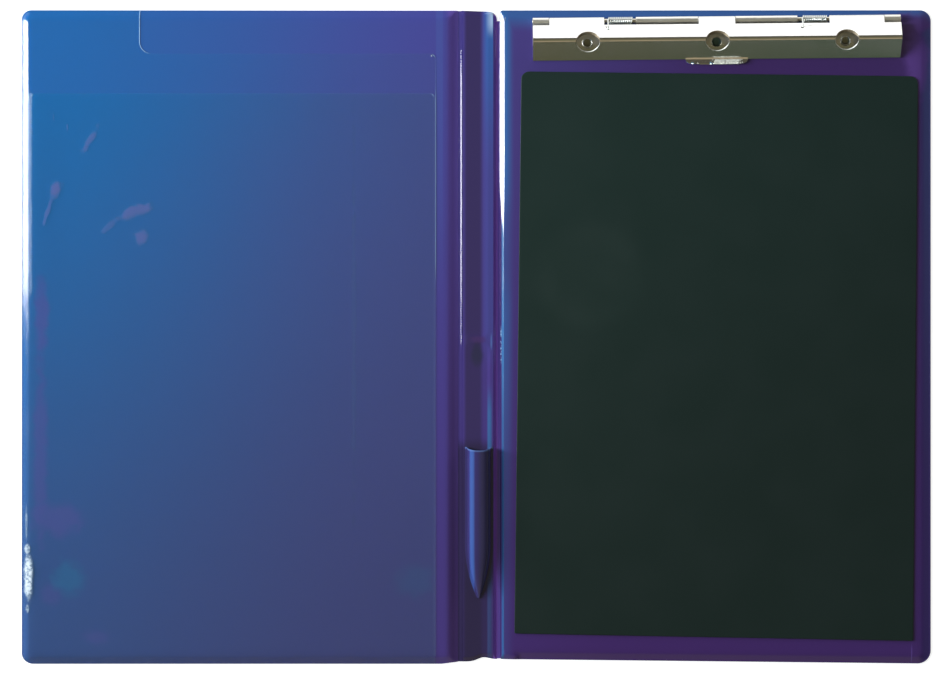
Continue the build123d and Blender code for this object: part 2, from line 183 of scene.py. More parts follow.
def flat_faces_lead(piece):
    """Shades the narrow rounded strips into the large flat faces beside them."""
    weighted = piece.modifiers.new("flat_faces_lead", "WEIGHTED_NORMAL")
    weighted.keep_sharp = True
    weighted.weight = 100
    shaded = piece.evaluated_get(bpy.context.evaluated_depsgraph_get())
    mesh = bpy.data.meshes.new_from_object(shaded)
    piece.modifiers.clear()
    piece.data = mesh
    return piece


# Panels

def rounded_loop(corners, insets, arc_steps, edge_steps):
    """Points round a panel's outline in order, each edge drawn in by its own inset.

    A corner is x, y, the names of the edges that meet there and its radius."""
    inwards = {"left": 1, "right": -1, "top": -1, "bottom": 1}
    drawn = []
    for x, y, side, end, radius in corners:
        corner = Vector((x + inwards[side] * insets[side], y + inwards[end] * insets[end]))
        drawn.append((corner, max(radius - (insets[side] + insets[end]) / 2, 0.3)))
    count = len(drawn)
    arcs = []
    for i, (corner, radius) in enumerate(drawn):
        before = (drawn[i - 1][0] - corner).normalized()
        after = (drawn[(i + 1) % count][0] - corner).normalized()
        half = before.angle(after) / 2
        reach = radius / math.tan(half)
        middle = corner + (before + after).normalized() * radius / math.sin(half)
        first = corner + before * reach - middle
        turn = first.angle_signed(corner + after * reach - middle)
        arc = []
        for step in range(arc_steps + 1):
            a = turn * step / arc_steps
            arc.append(middle + Vector((first.x * math.cos(a) + first.y * math.sin(a),
                                        first.y * math.cos(a) - first.x * math.sin(a))))
        arcs.append(arc)
    loop = []
    for i, arc in enumerate(arcs):
        following = arcs[(i + 1) % count][0]
        loop += arc
        for step in range(1, edge_steps[i]):
            loop.append(arc[-1].lerp(following, step / edge_steps[i]))
    return loop


front_corners = [
    (-cover_half_width, cover_half_height, "left", "top", 5.0),
    (front_hinge_x - weld_half_width, 172.1, "right", "top", 0.4),
    (front_hinge_x - weld_half_width, -171.2, "right", "bottom", 0.4),
    (front_hinge_x - 9.5, -cover_half_height, "right", "bottom", 12.0),
    (-cover_half_width, -cover_half_height, "left", "bottom", 5.8),
]
back_corners = [
    (back_hinge_x + weld_half_width, 172.2, "left", "top", 1.6),
    (cover_half_width, cover_half_height, "right", "top", 5.8),
    (cover_half_width, -172.2, "right", "bottom", 6.8),
    (back_hinge_x + weld_half_width, -169.8, "left", "bottom", 1.0),
]
front_edge_steps = [150, 220, 6, 144, 220]
back_edge_steps = [150, 220, 150, 220]
corner_steps = 10
rim_width = 0.3
front_rim = {"left": 0.5, "right": 0.5, "top": rim_width, "bottom": rim_width}
back_rim = {"left": 0.5, "right": 0.4, "top": rim_width, "bottom": rim_width}
front_shoulder = {"left": 4.7, "right": 6.0, "top": 6.9, "bottom": 7.3}
back_shoulder = {"left": 2.4, "right": 10.0, "top": 6.9, "bottom": 7.3}
end_shoulder = 7.0
rim_stations = [0.0, 0.5, 1.0]
slope_stations = [0.08, 0.18, 0.28, 0.38, 0.45, 0.50, 0.56, 0.64, 0.715, 0.73, 0.745, 0.86,
                  1.0]
face_insets = [1.2, 3.0, 6.0, 10.0, 15.0, 22.0, 30.0, 40.0, 52.0, 66.0, 82.0, 98.0]

# The outer side and the folded-under rim below a panel's edge: inset and height
side_section = [(-0.05, 0.42), (-0.08, 0.3), (-0.05, 0.16), (0.15, 0.02), (0.5, 0.0),
                (0.9, 0.06), (1.3, 0.0)]


def rim_height(part):
    """The welded rim, very slightly raised along its middle."""
    return rim_z + 0.04 * bump_shape(part, 0.4, 0.4)


def even_curve(knots, x):
    """Height at x on a smooth curve through the knots that never overshoots them."""
    if x <= knots[0][0]:
        return knots[0][1]
    if x >= knots[-1][0]:
        return knots[-1][1]
    i = 1
    while knots[i][0] < x:
        i += 1

    def rise(j):
        if 1 <= j < len(knots):
            return (knots[j][1] - knots[j - 1][1]) / (knots[j][0] - knots[j - 1][0])
        return 0.0

    def tilt(j):
        before, after = rise(j), rise(j + 1)
        return 2 * before * after / (before + after) if before * after > 0 else 0.0

    (x0, z0), (x1, z1) = knots[i - 1], knots[i]
    span = x1 - x0
    t = (x - x0) / span
    return ((2 * t ** 3 - 3 * t ** 2 + 1) * z0 + (t ** 3 - 2 * t ** 2 + t) * span * tilt(i - 1)
            + (3 * t ** 2 - 2 * t ** 3) * z1 + (t ** 3 - t ** 2) * span * tilt(i))


# Rise of the film from the rim to the face: straight up to the board's edge, then level
taut_knots = [(0.0, 0.0), (0.1, 0.172), (0.3, 0.517), (0.46, 0.79), (0.54, 0.875), (0.7, 0.95),
              (0.85, 0.988), (1.0, 1.0)]


def slope_height(part, top, roundness=0.0):
    """Film pulled from the rim over the board's edge. roundness 1 makes it one round curve."""
    taut = even_curve(taut_knots, part)
    curved = 1.0 - (1.0 - part) ** 2.1
    return rim_z + (top - rim_z) * (taut + (curved - taut) * roundness)


def end_height(distance, top, shoulder):
    """Height of a panel's film at a distance from its upper or lower end."""
    if distance < rim_width:
        return rim_height(max(distance, 0.0) / rim_width)
    return slope_height(min((distance - rim_width) / (shoulder - rim_width), 1.0), top)


# Heights across the fold: front cover's slope, seam with its bead, spine, then the valley
# from which the film climbs to the back cover, gently near the top edge and steeply lower down
fold_knots = [
    (-18.3, 2.70), (-16.2, 2.69), (-14.9, 2.52), (-13.2, 1.95), (-11.6, 1.22), (-10.2, 0.70),
    (-9.3, 0.50), (-8.9, 0.47), (-8.4, 0.48), (-7.9, 0.50), (-7.35, 0.50), (-6.95, 0.52),
    (-6.88, 1.78), (-6.2, 1.79), (-5.0, 1.77), (-2.0, 1.72),
    (1.0, 1.68), (3.0, 1.67), (6.0, 1.69), (8.4, 1.74), (8.9, 1.74), (9.2, 1.70), (9.6, 1.40),
    (10.1, 0.90), (10.6, 0.62), (11.2, 0.52),
]
climb_x = 11.2
gentle_climb = [(11.2, 0.52), (11.6, 0.55), (12.2, 0.68), (12.45, 0.80), (13.4, 1.42),
                (14.2, 1.94), (14.6, 2.20), (14.9, 2.32), (15.4, 2.43), (16.4, 2.60),
                (17.6, 2.70)]
steep_climb = [(11.2, 0.52), (12.38, 0.53), (12.42, 0.55), (12.5, 0.63), (14.3585, 2.4835),
               (14.387, 2.51), (14.4155, 2.517), (14.9, 2.59), (15.6, 2.65), (17.6, 2.70)]
fold_reach = 8.7
dent_y = -6.0
bead_x = -7.69


def dented(x, y):
    """What the spine's raised bands and the dent across them add to the film's height."""
    above = smooth_step(dent_y - 6.0, dent_y + 6.0, y)
    wide = 0.46 * smooth_step(2.6, 8.6, x) * above
    narrow = 0.34 * smooth_step(5.4, 7.9, x) * (1 - above)
    narrow *= 1 - 0.8 * bump_shape(y, -98.0, 48.0)
    middle = smooth_step(-6.6, -3.4, x) * (1 - smooth_step(6.4, 9.0, x))
    fold_above = 0.42 * math.exp(-((y - dent_y - 4.5) / 2.4) ** 2)
    sunk = 0.06 * math.exp(-((y - dent_y + 4.0) / 5.0) ** 2)
    return ((wide + narrow) * (1 - smooth_step(8.75, 9.5, x)) + middle * (fold_above - sunk)
            + 0.03 * wave(x, y, 16, 6))


def beaded(x, y):
    """The bead of the left weld line: tall in its middle, broken up towards both ends."""
    bead = bump_shape(x, bead_x, 0.62)
    if bead == 0:
        return 0.0
    raised = 0.06 + 0.32 * smooth_step(158.0, 138.0, y) * smooth_step(-7.0, 4.0, y)
    broken = 0.05 + 0.40 * smooth_step(134.0, 148.0, y) + 0.40 * smooth_step(20.0, 10.0, y)
    pitch = math.sin(math.tau * y / 1.3) + wave(x, y, 1.9, 8)
    return bead * raised * (1 + broken * pitch)


def fold_height(x, y):
    """Height of the film across the fold at the place x, y."""
    steep = smooth_step(92.0, 46.0, y)
    if x > climb_x:
        z = even_curve(gentle_climb, x) * (1 - steep) + even_curve(steep_climb, x) * steep
    else:
        z = even_curve(fold_knots, x)
    if -6.7 < x < 9.6:
        z += dented(x, y)
    if x > 12.6:
        z -= 0.06 * bump_shape(x, 14.36, 0.26) * (1 - steep)
        z += 0.012 * wave(x * 2, y, 12, 7) * (1 - smooth_step(15.0, 18.0, x))
    if x < -9.6:
        z += 0.05 * wave(x, y, 14, 8) * smooth_step(-17.5, -13.0, x)
    crumpled = bump_shape(x, 12.6, 0.9) * bump_shape(y, -7.0, 8.0)
    return z + beaded(x, y) + 0.04 * crumpled * wave(x, y, 1.1, 9)


rivet_hole_depth = 0.55
rivet_hole_steps = 40


def panel_skin(name, corners, rim_widths, shoulders, edge_steps, material, holes=()):
    """One closed skin of a cover: face, rounded slopes, welded rim and outer side."""
    xs = [corner[0] for corner in corners]
    ys = [corner[1] for corner in corners]
    left, right, bottom, top = min(xs), max(xs), min(ys), max(ys)
    folds_left = corners is back_corners
    fold_edge = left if folds_left else right
    fold_ends = [y for x, y, *_ in corners if x == fold_edge]
    rows = []

    def uneven(x, y):
        """Slight unevenness of the face, dying away towards its middle."""
        inward = min(x - left, right - x, y - bottom, top - y)
        near = 1 - smooth_step(4.0, 20.0, inward)
        outer = 1 - smooth_step(50.0, 78.0, inward)
        return 0.035 * near * wave(x, y, 17, 1) + 0.03 * outer * wave(x, y, 60, 2)

    def near_fold(x, y, z):
        """Takes the fold's own slope where the panel comes near the hinge."""
        along = abs(x - fold_edge)
        if along >= fold_reach:
            return z
        share = along / fold_reach
        low = min(fold_ends) + (bottom - min(fold_ends)) * share
        high = max(fold_ends) + (top - max(fold_ends)) * share
        level = min(fold_height(x, y), end_height(min(y - low, high - y), face_z, end_shoulder))
        part = max(level - rim_z, 0) / (face_z - rim_z)
        return level + part * uneven(x, y)

    def roundness(x, y):
        """1 along the front cover's outer edge, where the film lies in one round curve."""
        if folds_left:
            return 0.0
        return smooth_step(-1.5, 1.5, min(right - x, y - bottom, top - y) - (x - left))

    def add_row(insets, height_of):
        loop = rounded_loop(corners, insets, corner_steps, edge_steps)
        rows.append([(p.x, p.y, height_of(p.x, p.y)) for p in loop])

    for inset in reversed(face_insets):
        add_row({k: shoulders[k] + inset for k in shoulders},
                lambda x, y: near_fold(x, y, face_z + uneven(x, y)))
    for part in reversed(slope_stations):
        def sloped(x, y):
            pucker = 0.2 * part * (1 - part) * (1 - 0.7 * roundness(x, y)) * wave(x, y, 9, 3)
            rest = slope_height(part, face_z, roundness(x, y))
            return near_fold(x, y, rest + pucker + part * uneven(x, y))
        add_row({k: rim_widths[k] + (shoulders[k] - rim_widths[k]) * part for k in shoulders},
                sloped)
    for part in reversed(rim_stations):
        add_row({k: rim_widths[k] * part for k in rim_widths},
                lambda x, y: near_fold(x, y, rim_height(part) + 0.02 * wave(x, y, 2.3, 5)))
    for inset, height in side_section:
        add_row(dict.fromkeys(rim_widths, inset), lambda x, y: height)

    points, numbers = numbered(rows)
    shell = raw_shape(points, [tuple(numbers[0])] + faces_between(numbers))
    shell.verts.ensure_lookup_table()
    last = [shell.verts[number] for number in numbers[-1]]
    open_edges = [shell.edges.get(pair) for pair in zip(last, last[1:] + last[:1])]
    for x, y, radius in holes:
        low, high = ([shell.verts.new(at(x + radius * c, y + radius * s, z))
                      for c, s in circle(rivet_hole_steps)] for z in (0.0, rivet_hole_depth))
        for side in ring_faces(low, high):
            shell.faces.new(side)
            open_edges.append(shell.edges.get(side[:2]))
        shell.faces.new(high)
    bmesh.ops.triangle_fill(shell, edges=open_edges, use_beauty=True)
    bmesh.ops.recalc_face_normals(shell, faces=shell.faces)
    return finished(name, shell, material, 60)


# Spine

spine_left = front_hinge_x + weld_half_width
spine_right = back_hinge_x - weld_half_width
spine_notch_radius = 4.2


def spine_ends(x):
    """Lower and upper end of the spine's film at x."""
    top = 172.1 - 0.7 * (x - spine_left) / (spine_right - spine_left)
    over = x - (spine_right - spine_notch_radius)
    if over > 0:
        top -= spine_notch_radius - math.sqrt(max(spine_notch_radius ** 2 - over ** 2, 0))
    bottom = -171.1 + 1.9 * math.exp(-((x - 3.4) / 4.2) ** 2) + 1.2 * smooth_step(0, 11, x)
    return bottom, top


def spine_skin(material):
    """Closed skin of the spine, from its lower end to its upper end."""
    rows = 700
    stations = [-8.0 + 0.1 * i for i in range(9)]
    stations += [-7.15 + 0.04 * i for i in range(14)]
    stations += [-6.5 + 0.3 * i for i in range(3)]
    stations += [-5.6 + 0.45 * i for i in range(31)]
    stations += [8.3 + 0.13 * i for i in range(20)]
    stations.append(spine_right)
    columns = []
    for x in stations:
        bottom, top = spine_ends(x)
        tucked = 0.12 * (1 - smooth_step(-7.7, -7.3, x))
        upper_shoulder = 5.0 - 3.4 * smooth_step(3.0, 7.0, x)
        column = []
        for j in range(rows + 1):
            t = j / rows
            y = bottom + (top - bottom) * (t - 0.10 * math.sin(math.tau * t) / math.tau)
            level = min(fold_height(x, y), end_height(y - bottom, spine_face_z, 5.0),
                        end_height(top - y, spine_face_z, upper_shoulder))
            column.append((x, y, level - tucked))
        columns.append(column)
    return film_strip("spine_skin", columns, 0.0, material)


def hinge_seam(name, reach, level_from, ends, tucks, material):
    """Pressed weld line between two panels. tucks are where its sides dip under them.

    From level_from on it stays level and leaves the climb to the panel."""
    steps_across = 32
    steps_along = 900
    low_y, high_y = ends
    columns = []
    for i in range(steps_across + 1):
        x = reach[0] + (reach[1] - reach[0]) * i / steps_across
        under = 0.05 * (1 - smooth_step(tucks[0] - 0.1, tucks[0] + 0.05, x))
        under += 0.05 * smooth_step(tucks[1] - 0.05, tucks[1] + 0.1, x)
        column = []
        for j in range(steps_along + 1):
            y = low_y + (high_y - low_y) * j / steps_along
            end = end_height(min(y - low_y, high_y - y), face_z, end_shoulder)
            column.append((x, y, min(fold_height(min(x, level_from), y), end) - under))
        columns.append(column)
    return film_strip(name, columns, 0.03, material)


# Clear pocket films

pocket_gap = 0.06
pocket_film_thickness = 0.22


def left_outline(y, inset):
    """The front cover's left edge at height y, drawn in, with its round corners."""
    edge = -cover_half_width + inset
    for corner_y, radius, sign in ((cover_half_height, 5.0, 1), (-cover_half_height, 5.8, -1)):
        round_in = radius - inset
        past = sign * y - (sign * corner_y - radius)
        if past > 0:
            past = min(past, round_in)
            edge = -cover_half_width + radius - math.sqrt(round_in ** 2 - past ** 2)
    return edge


def sheet_over(name, rows, material, lifted, under):
    """Thin closed sheet laid over what is under it. Each row is a list of (x, y, edge mask)."""
    reach = BVHTree.FromObject(under, bpy.context.evaluated_depsgraph_get())
    spots, grid = numbered(rows)
    heights = []
    for x, y, _ in spots:
        hit = reach.ray_cast(at(x, y, 30.0), Vector((0, 0, -1)))[0]
        heights.append(lifted(x, y, (hit.z / mm if hit else rim_z) + pocket_gap))
    sheet = bmesh.new()
    layer = sheet.verts.layers.float.new("edge")
    top, low = ([sheet.verts.new(at(x, y, z + raised)) for (x, y, _), z in zip(spots, heights)]
                for raised in (pocket_film_thickness, 0.0))
    for vert, (_, _, edge) in zip(top + low, spots + spots):
        vert[layer] = edge
    faces = faces_between(grid, closed=False)
    for side, order in ((top, 1), (low, -1)):
        for face in faces:
            sheet.faces.new([side[i] for i in face[::order]])
    lower_of = dict(zip(top, low))
    for edge in [e for e in sheet.edges if e.is_boundary and e.verts[0] in lower_of]:
        a, b = edge.verts
        if b in lower_of:
            sheet.faces.new((a, b, lower_of[b], lower_of[a]))
    bmesh.ops.remove_doubles(sheet, verts=sheet.verts, dist=1e-7)
    bmesh.ops.recalc_face_normals(sheet, faces=sheet.faces)
    return finished(name, sheet, material, 50)


def spread(start, end, step, fine=(0.0, 0.25, 0.6, 1.2, 2.2, 4.0)):
    """Values from start to end, close together at both ends."""
    inner = end - start - 2 * fine[-1]
    count = max(int(inner / step), 1)
    middle = [start + fine[-1] + inner * i / count for i in range(1, count)]
    return [start + f for f in fine] + middle + [end - f for f in reversed(fine)]


tall_right, tall_top, tall_corner = -21.2, 149.2, 3.2
tab_right, tab_fillet = -177.2, 6.3
short_right, short_top, short_corner = -22.0, 128.3, 2.4
tall_inset, short_inset = 0.35, 0.1


def round_right(y, right, top, radius):
    """Right edge of a film whose upper right corner is rounded."""
    past = y - (top - radius)
    return right - radius + math.sqrt(max(radius ** 2 - past ** 2, 0)) if past > 0 else right


def cut_edge(distance):
    """1 on a film's cut edge, fading inwards."""
    return 1.0 - smooth_step(0.05, 0.7, distance)


def edge_mask(x, y, right, top, radius, split):
    """How clearly a film's cut edges catch the light at x, y."""
    # Painted highlights on the cut edges: brightest at the corner and where the lamp's reflection
    # reaches
    corner = 0.9 * bump_shape(y, top - 0.8, 1.6)
    strong = 0.62 * smooth_step(136.0, 124.0, y) * smooth_step(20.0, 40.0, y)
    side = max(0.22, corner, strong if right == tall_right else 0.0)
    side *= cut_edge(round_right(min(y, top), right, top, radius) - x)
    upper = (0.10 + 0.08 * wave(x, y, 3.0, 17)) * cut_edge(top - y)
    if split is not None and x < split:
        upper = 0.9 * cut_edge(math.hypot(x - split, y - top - tab_fillet) - tab_fillet)
        upper *= smooth_step(split, split - 4.0, x)
    return max(side, upper, 0.0)


def pocket_rows(right, top, radius, inset, split=None):
    """Rows of a pocket film from its lower edge to its top."""
    rows = []
    for y in spread(-cover_half_height + inset, top, 2.2):
        left = left_outline(y, inset)
        edge_x = round_right(y, right, top, radius)
        if split is None:
            xs = spread(left, edge_x, 2.4)
        else:
            xs = spread(left, split, 2.4) + spread(split, edge_x, 2.4)[1:]
        rows.append([(x, y, edge_mask(x, y, right, top, radius, split)) for x in xs])
    return rows


def tall_rows():
    """Rows of the tall film: its body, then the tab that runs on to the top edge."""
    split = tab_right + tab_fillet
    rows = pocket_rows(tall_right, tall_top, tall_corner, tall_inset, split)
    shared = [p[0] for p in rows[-1] if p[0] <= split + 1e-6]
    fractions = [(x - shared[0]) / (split - shared[0]) for x in shared]
    tab_end = cover_half_height - tall_inset
    for y in spread(tall_top, tab_end, 1.0, (0.0, 0.3, 0.8, 1.5, 2.4, 3.4))[1:]:
        past = tab_fillet - (y - tall_top)
        edge_x = tab_right
        if past > 0:
            edge_x += tab_fillet - math.sqrt(max(tab_fillet ** 2 - past ** 2, 0))
        left = left_outline(y, tall_inset)
        xs = [left + (edge_x - left) * f for f in fractions]
        rows.append([(x, y, 0.9 * cut_edge(edge_x - x)) for x in xs])
    return rows


def tall_lifted(x, y, rest):
    """Height of the tall film, which has its own unevenness."""
    return rest + 0.03 + 0.02 * wave(x, y, 34, 11)


def short_lifted(x, y, rest):
    """Height of the short film, which is pulled in an arch over the left edge."""
    from_left = x + cover_half_width
    reach = 6.6
    climb = 0.85 + 3.05 * (1 - max(1 - from_left / reach, 0) ** 1.5)
    climb -= 0.75 * smooth_step(reach - 0.6, 22.0, from_left)
    wrinkled = bump_shape(y, -127.0, 30.0)
    share = max(smooth_step(8.0, 24.0, y), 0.8 * wrinkled,
                0.45 * smooth_step(-168.0, -150.0, y))
    share *= 1 + 0.05 * wave(x * 0.3, y, 22, 15)
    slack = 0.05 * wrinkled * bump_shape(from_left, 3.6, 3.4) * wave(x, y, 1.5, 16)
    arched = rest + (max(climb, rest) - rest) * share if from_left < 22.0 else rest
    return arched + slack + 0.03 + 0.02 * wave(x, y, 26, 12)


# Writing mat

mat_low, mat_high = 2.7, 3.5
mat_half_width, mat_half_height = 105.0, 148.5
mat_centre = (126.9, -9.9)
mat_turn = math.radians(-0.7)

# From the mat's middle out over its softened upper edge and down its side: inset and height
mat_section = [(60, mat_high), (40, mat_high), (20, mat_high), (8, mat_high), (3, mat_high),
               (1.0, mat_high), (0.3, mat_high), (0.08, mat_high - 0.03), (0.0, mat_high - 0.12),
               (0.0, mat_low + 0.02)]


def writing_mat(material):
    """Thin mat with softened edges, rounded above and square below."""
    corners = [
        (-mat_half_width, mat_half_height, "left", "top", 4.2),
        (mat_half_width, mat_half_height, "right", "top", 4.2),
        (mat_half_width, -mat_half_height, "right", "bottom", 0.9),
        (-mat_half_width, -mat_half_height, "left", "bottom", 0.9),
    ]
    rows = []
    for inset, height in mat_section:
        insets = dict.fromkeys(("left", "right", "top", "bottom"), inset)
        row = []
        for p in rounded_loop(corners, insets, 8, [50, 70, 50, 70]):
            z = height
            if height > mat_low + 0.1:
                if inset < 10:
                    z += 0.10 * smooth_step(10, 0, mat_half_height + p.y) \
                        * smooth_step(60, 100, p.x)
                if inset < 59:
                    z += 0.02 * wave(p.x, p.y, 45, 13)
            across = p.x / mat_half_width / 2 + 0.5
            up = p.y / mat_half_height / 2 + 0.5
            x = mat_centre[0] + p.x * math.cos(mat_turn) - p.y * math.sin(mat_turn)
            y = mat_centre[1] + p.x * math.sin(mat_turn) + p.y * math.cos(mat_turn)
            row.append((x - 1.1 * across * up, y + (1 - up) * (1.0 - 1.3 * across), z))
        rows.append(row)
    return flat_faces_lead(lofted("mat_sheet", rows, material, 70))


# Pen pouch

pouch_x = 1.45
pouch_mouth_y = -58.0
pouch_straight = 51.5
pouch_taper = 28.0
pouch_half_width = 6.3
pouch_height = 8.2
pouch_wall = 0.5
pouch_flange = 1.15


def pen_pouch(material):
    """Half-round pouch of formed film with a welded flange and a rolled mouth."""
    arch_steps = 36
    stations = [(pouch_mouth_y - pouch_straight * i / 80, 1.0) for i in range(80)]
    for i in range(31):
        part = i / 30
        stations.append((pouch_mouth_y - pouch_straight - pouch_taper * part,
                         1.0 - 0.94 * part ** 1.9))
    lip_highlight = []
    rows = []
    for y, scale in stations:
        from_mouth = pouch_mouth_y - y
        half = pouch_half_width * scale
        height = pouch_height * scale ** 0.85
        wall = min(pouch_wall, half * 0.5)
        lip = 0.18 * math.exp(-(from_mouth / 0.8) ** 2)
        brim = half + pouch_flange * (0.6 + 0.4 * scale)
        angles = [math.pi * i / arch_steps for i in range(arch_steps + 1)]
        section = [(-brim, 0.0, 0.0), (-brim, 0.32, 0.0), (-half - 0.35, 0.40, 0.0)]
        for a in angles:
            swell = lip + 0.05 * wave(y, a * 4, 6, 14)
            squash = 1.0 - 0.10 * math.sin(a) ** 6
            rise = (height + swell - 0.42) * math.sin(a) ** 0.8 * squash
            section.append((-(half + swell) * math.cos(a), 0.42 + rise, math.sin(a)))
        section += [(half + 0.35, 0.40, 0.0), (brim, 0.32, 0.0), (brim, 0.0, 0.0)]
        for a in reversed(angles):
            squash = 1.0 - 0.10 * math.sin(a) ** 6
            section.append((-(half - wall) * math.cos(a),
                            (height - wall) * math.sin(a) ** 0.8 * squash, math.sin(a)))
        dip = 1.6 * max(0.0, 1.0 - from_mouth / 8.0)
        rows.append([(pouch_x + x, y - dip * arch, spine_z - 0.12 + z)
                     for x, z, arch in section])
        # Strength of the painted highlight on the rim of the mouth
        lip_highlight += [1.0 - smooth_step(0.3, 1.3, from_mouth)] * len(section)
    points, numbers = numbered(rows)
    faces = faces_between(numbers)
    arch_count = arch_steps + 1
    for ends in (numbers[0], numbers[-1]):
        outer = ends[3:3 + arch_count]
        right = ends[3 + arch_count:6 + arch_count]
        inner = ends[6 + arch_count:][::-1]
        faces += ring_faces(outer, inner, closed=False)
        faces.append((ends[0], ends[1], ends[2], outer[0], inner[0]))
        faces.append((right[2], right[1], right[0], outer[-1], inner[-1]))
    return new_piece("pouch_shell", points, faces, material, 55, {"lip": lip_highlight})


# Clip

clip_centre = (126.4, 166.7)
clip_turn = math.radians(0.52)
rod_z = 5.05
jaw_slope = math.radians(31.0)
clip_place = Matrix.Translation(at(*clip_centre, rod_z)) @ Matrix.Rotation(clip_turn, 4, "Z")


def on_clip(x, u, z):
    """A point in the clip's own frame (x along the rod, u away from the edge, z up) placed."""
    return clip_place @ at(x, -u, z) / mm


def softened_copy(node, name, material, edge_round, cut_off=None):
    """The node's own sheet metal with its sharp edges rounded, cut off at a distance u."""
    metal = bmesh.new()
    metal.from_mesh(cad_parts[node].data)
    bmesh.ops.remove_doubles(metal, verts=metal.verts, dist=2e-6)
    if cut_off:
        outwards = clip_place.to_3x3() @ Vector((0, -1, 0))
        parts = metal.verts[:] + metal.edges[:] + metal.faces[:]
        cut = bmesh.ops.bisect_plane(metal, geom=parts, plane_co=clip_place @ at(0, -cut_off, 0),
                                     plane_no=outwards, clear_outer=True)["geom_cut"]
        bmesh.ops.holes_fill(metal, edges=[e for e in cut if isinstance(e, bmesh.types.BMEdge)])
    bmesh.ops.dissolve_limit(metal, angle_limit=math.radians(0.8), verts=metal.verts,
                             edges=metal.edges)
    sharp = [e for e in metal.edges
             if len(e.link_faces) == 2 and e.calc_face_angle() > math.radians(40)]
    bmesh.ops.bevel(metal, geom=sharp, offset=edge_round * mm, segments=2, profile=0.5,
                    affect="EDGES", clamp_overlap=True)
    bmesh.ops.triangulate(metal, faces=[f for f in metal.faces if len(f.verts) > 4])
    return flat_faces_lead(finished(name, metal, material, 32))


rivet_x = 67.9
rivet_u = 11.2
base_top = 3.5
bore_floor = 3.05


def turned_shape(name, profile, x, material):
    """A piece turned about the upright axis at x along the clip, from (radius, height)."""
    axis = on_clip(x, rivet_u, 0)
    rows = [[(axis.x + radius * c, axis.y + radius * s, height) for c, s in circle(48)]
            for radius, height in profile]
    return lofted(name, rows, material, 50)


def rivet(name, x, material):
    """Tubular rivet: flat head outside, its end rolled over on the base plate."""
    profile = [(0.01, bore_floor), (2.0, bore_floor), (2.05, base_top), (2.12, base_top + 0.34),
               (2.3, base_top + 0.52), (2.52, base_top + 0.54), (2.74, base_top + 0.4),
               (2.88, base_top + 0.18), (2.92, base_top + 0.01), (2.2, base_top + 0.01),
               (2.2, 0.58), (4.3, 0.55), (4.48, 0.42), (4.5, 0.25), (4.35, 0.1), (4.0, 0.05),
               (0.01, 0.05)]
    return turned_shape(name, profile, x, material)


def bore_cup(name, x, radius, material):
    """Dull dark dished floor of a rivet's bore or of the spare hole: painted shade in the hollow.
    """
    profile = [(0.01, bore_floor + 0.03), (radius * 0.6, bore_floor + 0.05),
               (radius * 0.9, bore_floor + 0.14), (radius, bore_floor + 0.3),
               (radius, bore_floor - 0.1), (0.01, bore_floor - 0.1)]
    return turned_shape(name, profile, x, material)


def hole_lip(name, x, plate, material):
    """Pressed lip round an access hole of the jaw, which slants in and down."""
    reach = BVHTree.FromObject(plate, bpy.context.evaluated_depsgraph_get())
    rows = []
    for c, s in circle(96):
        ray = on_clip(x + 6.45 * c, rivet_u - 5.45 * s, 20) * mm
        hit = clip_place.inverted() @ reach.ray_cast(ray, Vector((0, 0, -1)))[0]
        above = smooth_step(-0.1, 0.7, s)
        below = smooth_step(0.2, 0.8, -s)
        out, lift = 0.04, 0.02
        section = [(0.12, -0.06), (out, lift)]
        rim = (0.10 + 0.40 * below + 0.28 * above, 0.12 + 0.25 * below + 0.10 * above)
        funnel = (0.06 + 0.60 * above, 0.30 + 0.20 * above)
        throat = (0.04 + 0.24 * above, 0.20 + 0.45 * above)
        for inwards, down in (rim, funnel, throat):
            out -= inwards
            lift -= down
            section.append((out, lift))
        section.append((0.1, lift - 0.2))
        rows.append([on_clip(x + (6.25 + out) * c, rivet_u - (5.25 + out) * s,
                             hit.z / mm + lift) for out, lift in section])
    return lofted(name, rows, material, 30, looped=True)


def thumb_lip(material):
    """Thumb tab that turns up from the jaw's lower edge, crumpled by use."""
    half = 16.4
    columns = 120
    rows = []
    for i in range(columns + 1):
        x = half * (2 * i / columns - 1)
        reach = 2.5 * (1 - min(abs(x) / half, 1) ** 7) ** 0.5
        used = smooth_step(-4.2, -1.6, x) * smooth_step(14.4, 12.6, x)
        pinched = bump_shape(x, -11.4, 2.8)
        rise = math.tan(math.radians(13.0 + 18.0 * max(used, pinched)))
        section = [(19.5, -0.45), (19.62, -0.46), (20.2, -1.01), (20.36, -1.13), (20.5, -1.18)]
        for part in (0.12, 0.26, 0.4, 0.54, 0.68, 0.82, 0.92, 1.0):
            crumple = 0.30 * used * part * wave(x, part * 2.5, 0.9, 18)
            section.append((20.5 + reach * part, -1.16 + reach * part * rise + crumple))
        u, z = section[-1]
        section += [(u + 0.16, z - 0.12), (u + 0.22, z - 0.35), (u + 0.12, z - 0.62),
                    (u - 0.1, z - 0.72), (20.5, -1.88), (20.0, -1.7), (19.5, -1.1)]
        rows.append([on_clip(x, u, z) for u, z in section])
    return lofted("thumb_lip", rows, material, 60)


spring_wire = 0.80
spring_radius = 1.82
spring_turns = 12
spring_length = 12.4
coil_start = 0.6
spring_places = (("spring_left", -57.2, "torsion_spring_left"),
                 ("spring_right", 45.0, "torsion_spring_right"))

# The leg down to the base plate (u, z), and the hook over the jaw (along its slope, off it)
base_leg = [(6.0, -2.25), (6.0, -1.2), (5.75, -0.62), (5.0, -0.52), (3.8, -0.845),
            (2.6, -1.167), (1.5, -1.46)]
jaw_hook = [(0.6, 1.99), (1.6, 2.24), (2.6, 2.5), (3.6, 2.66), (4.8, 2.72), (5.8, 2.68),
            (6.4, 2.5), (6.66, 2.15), (6.7, 1.5)]


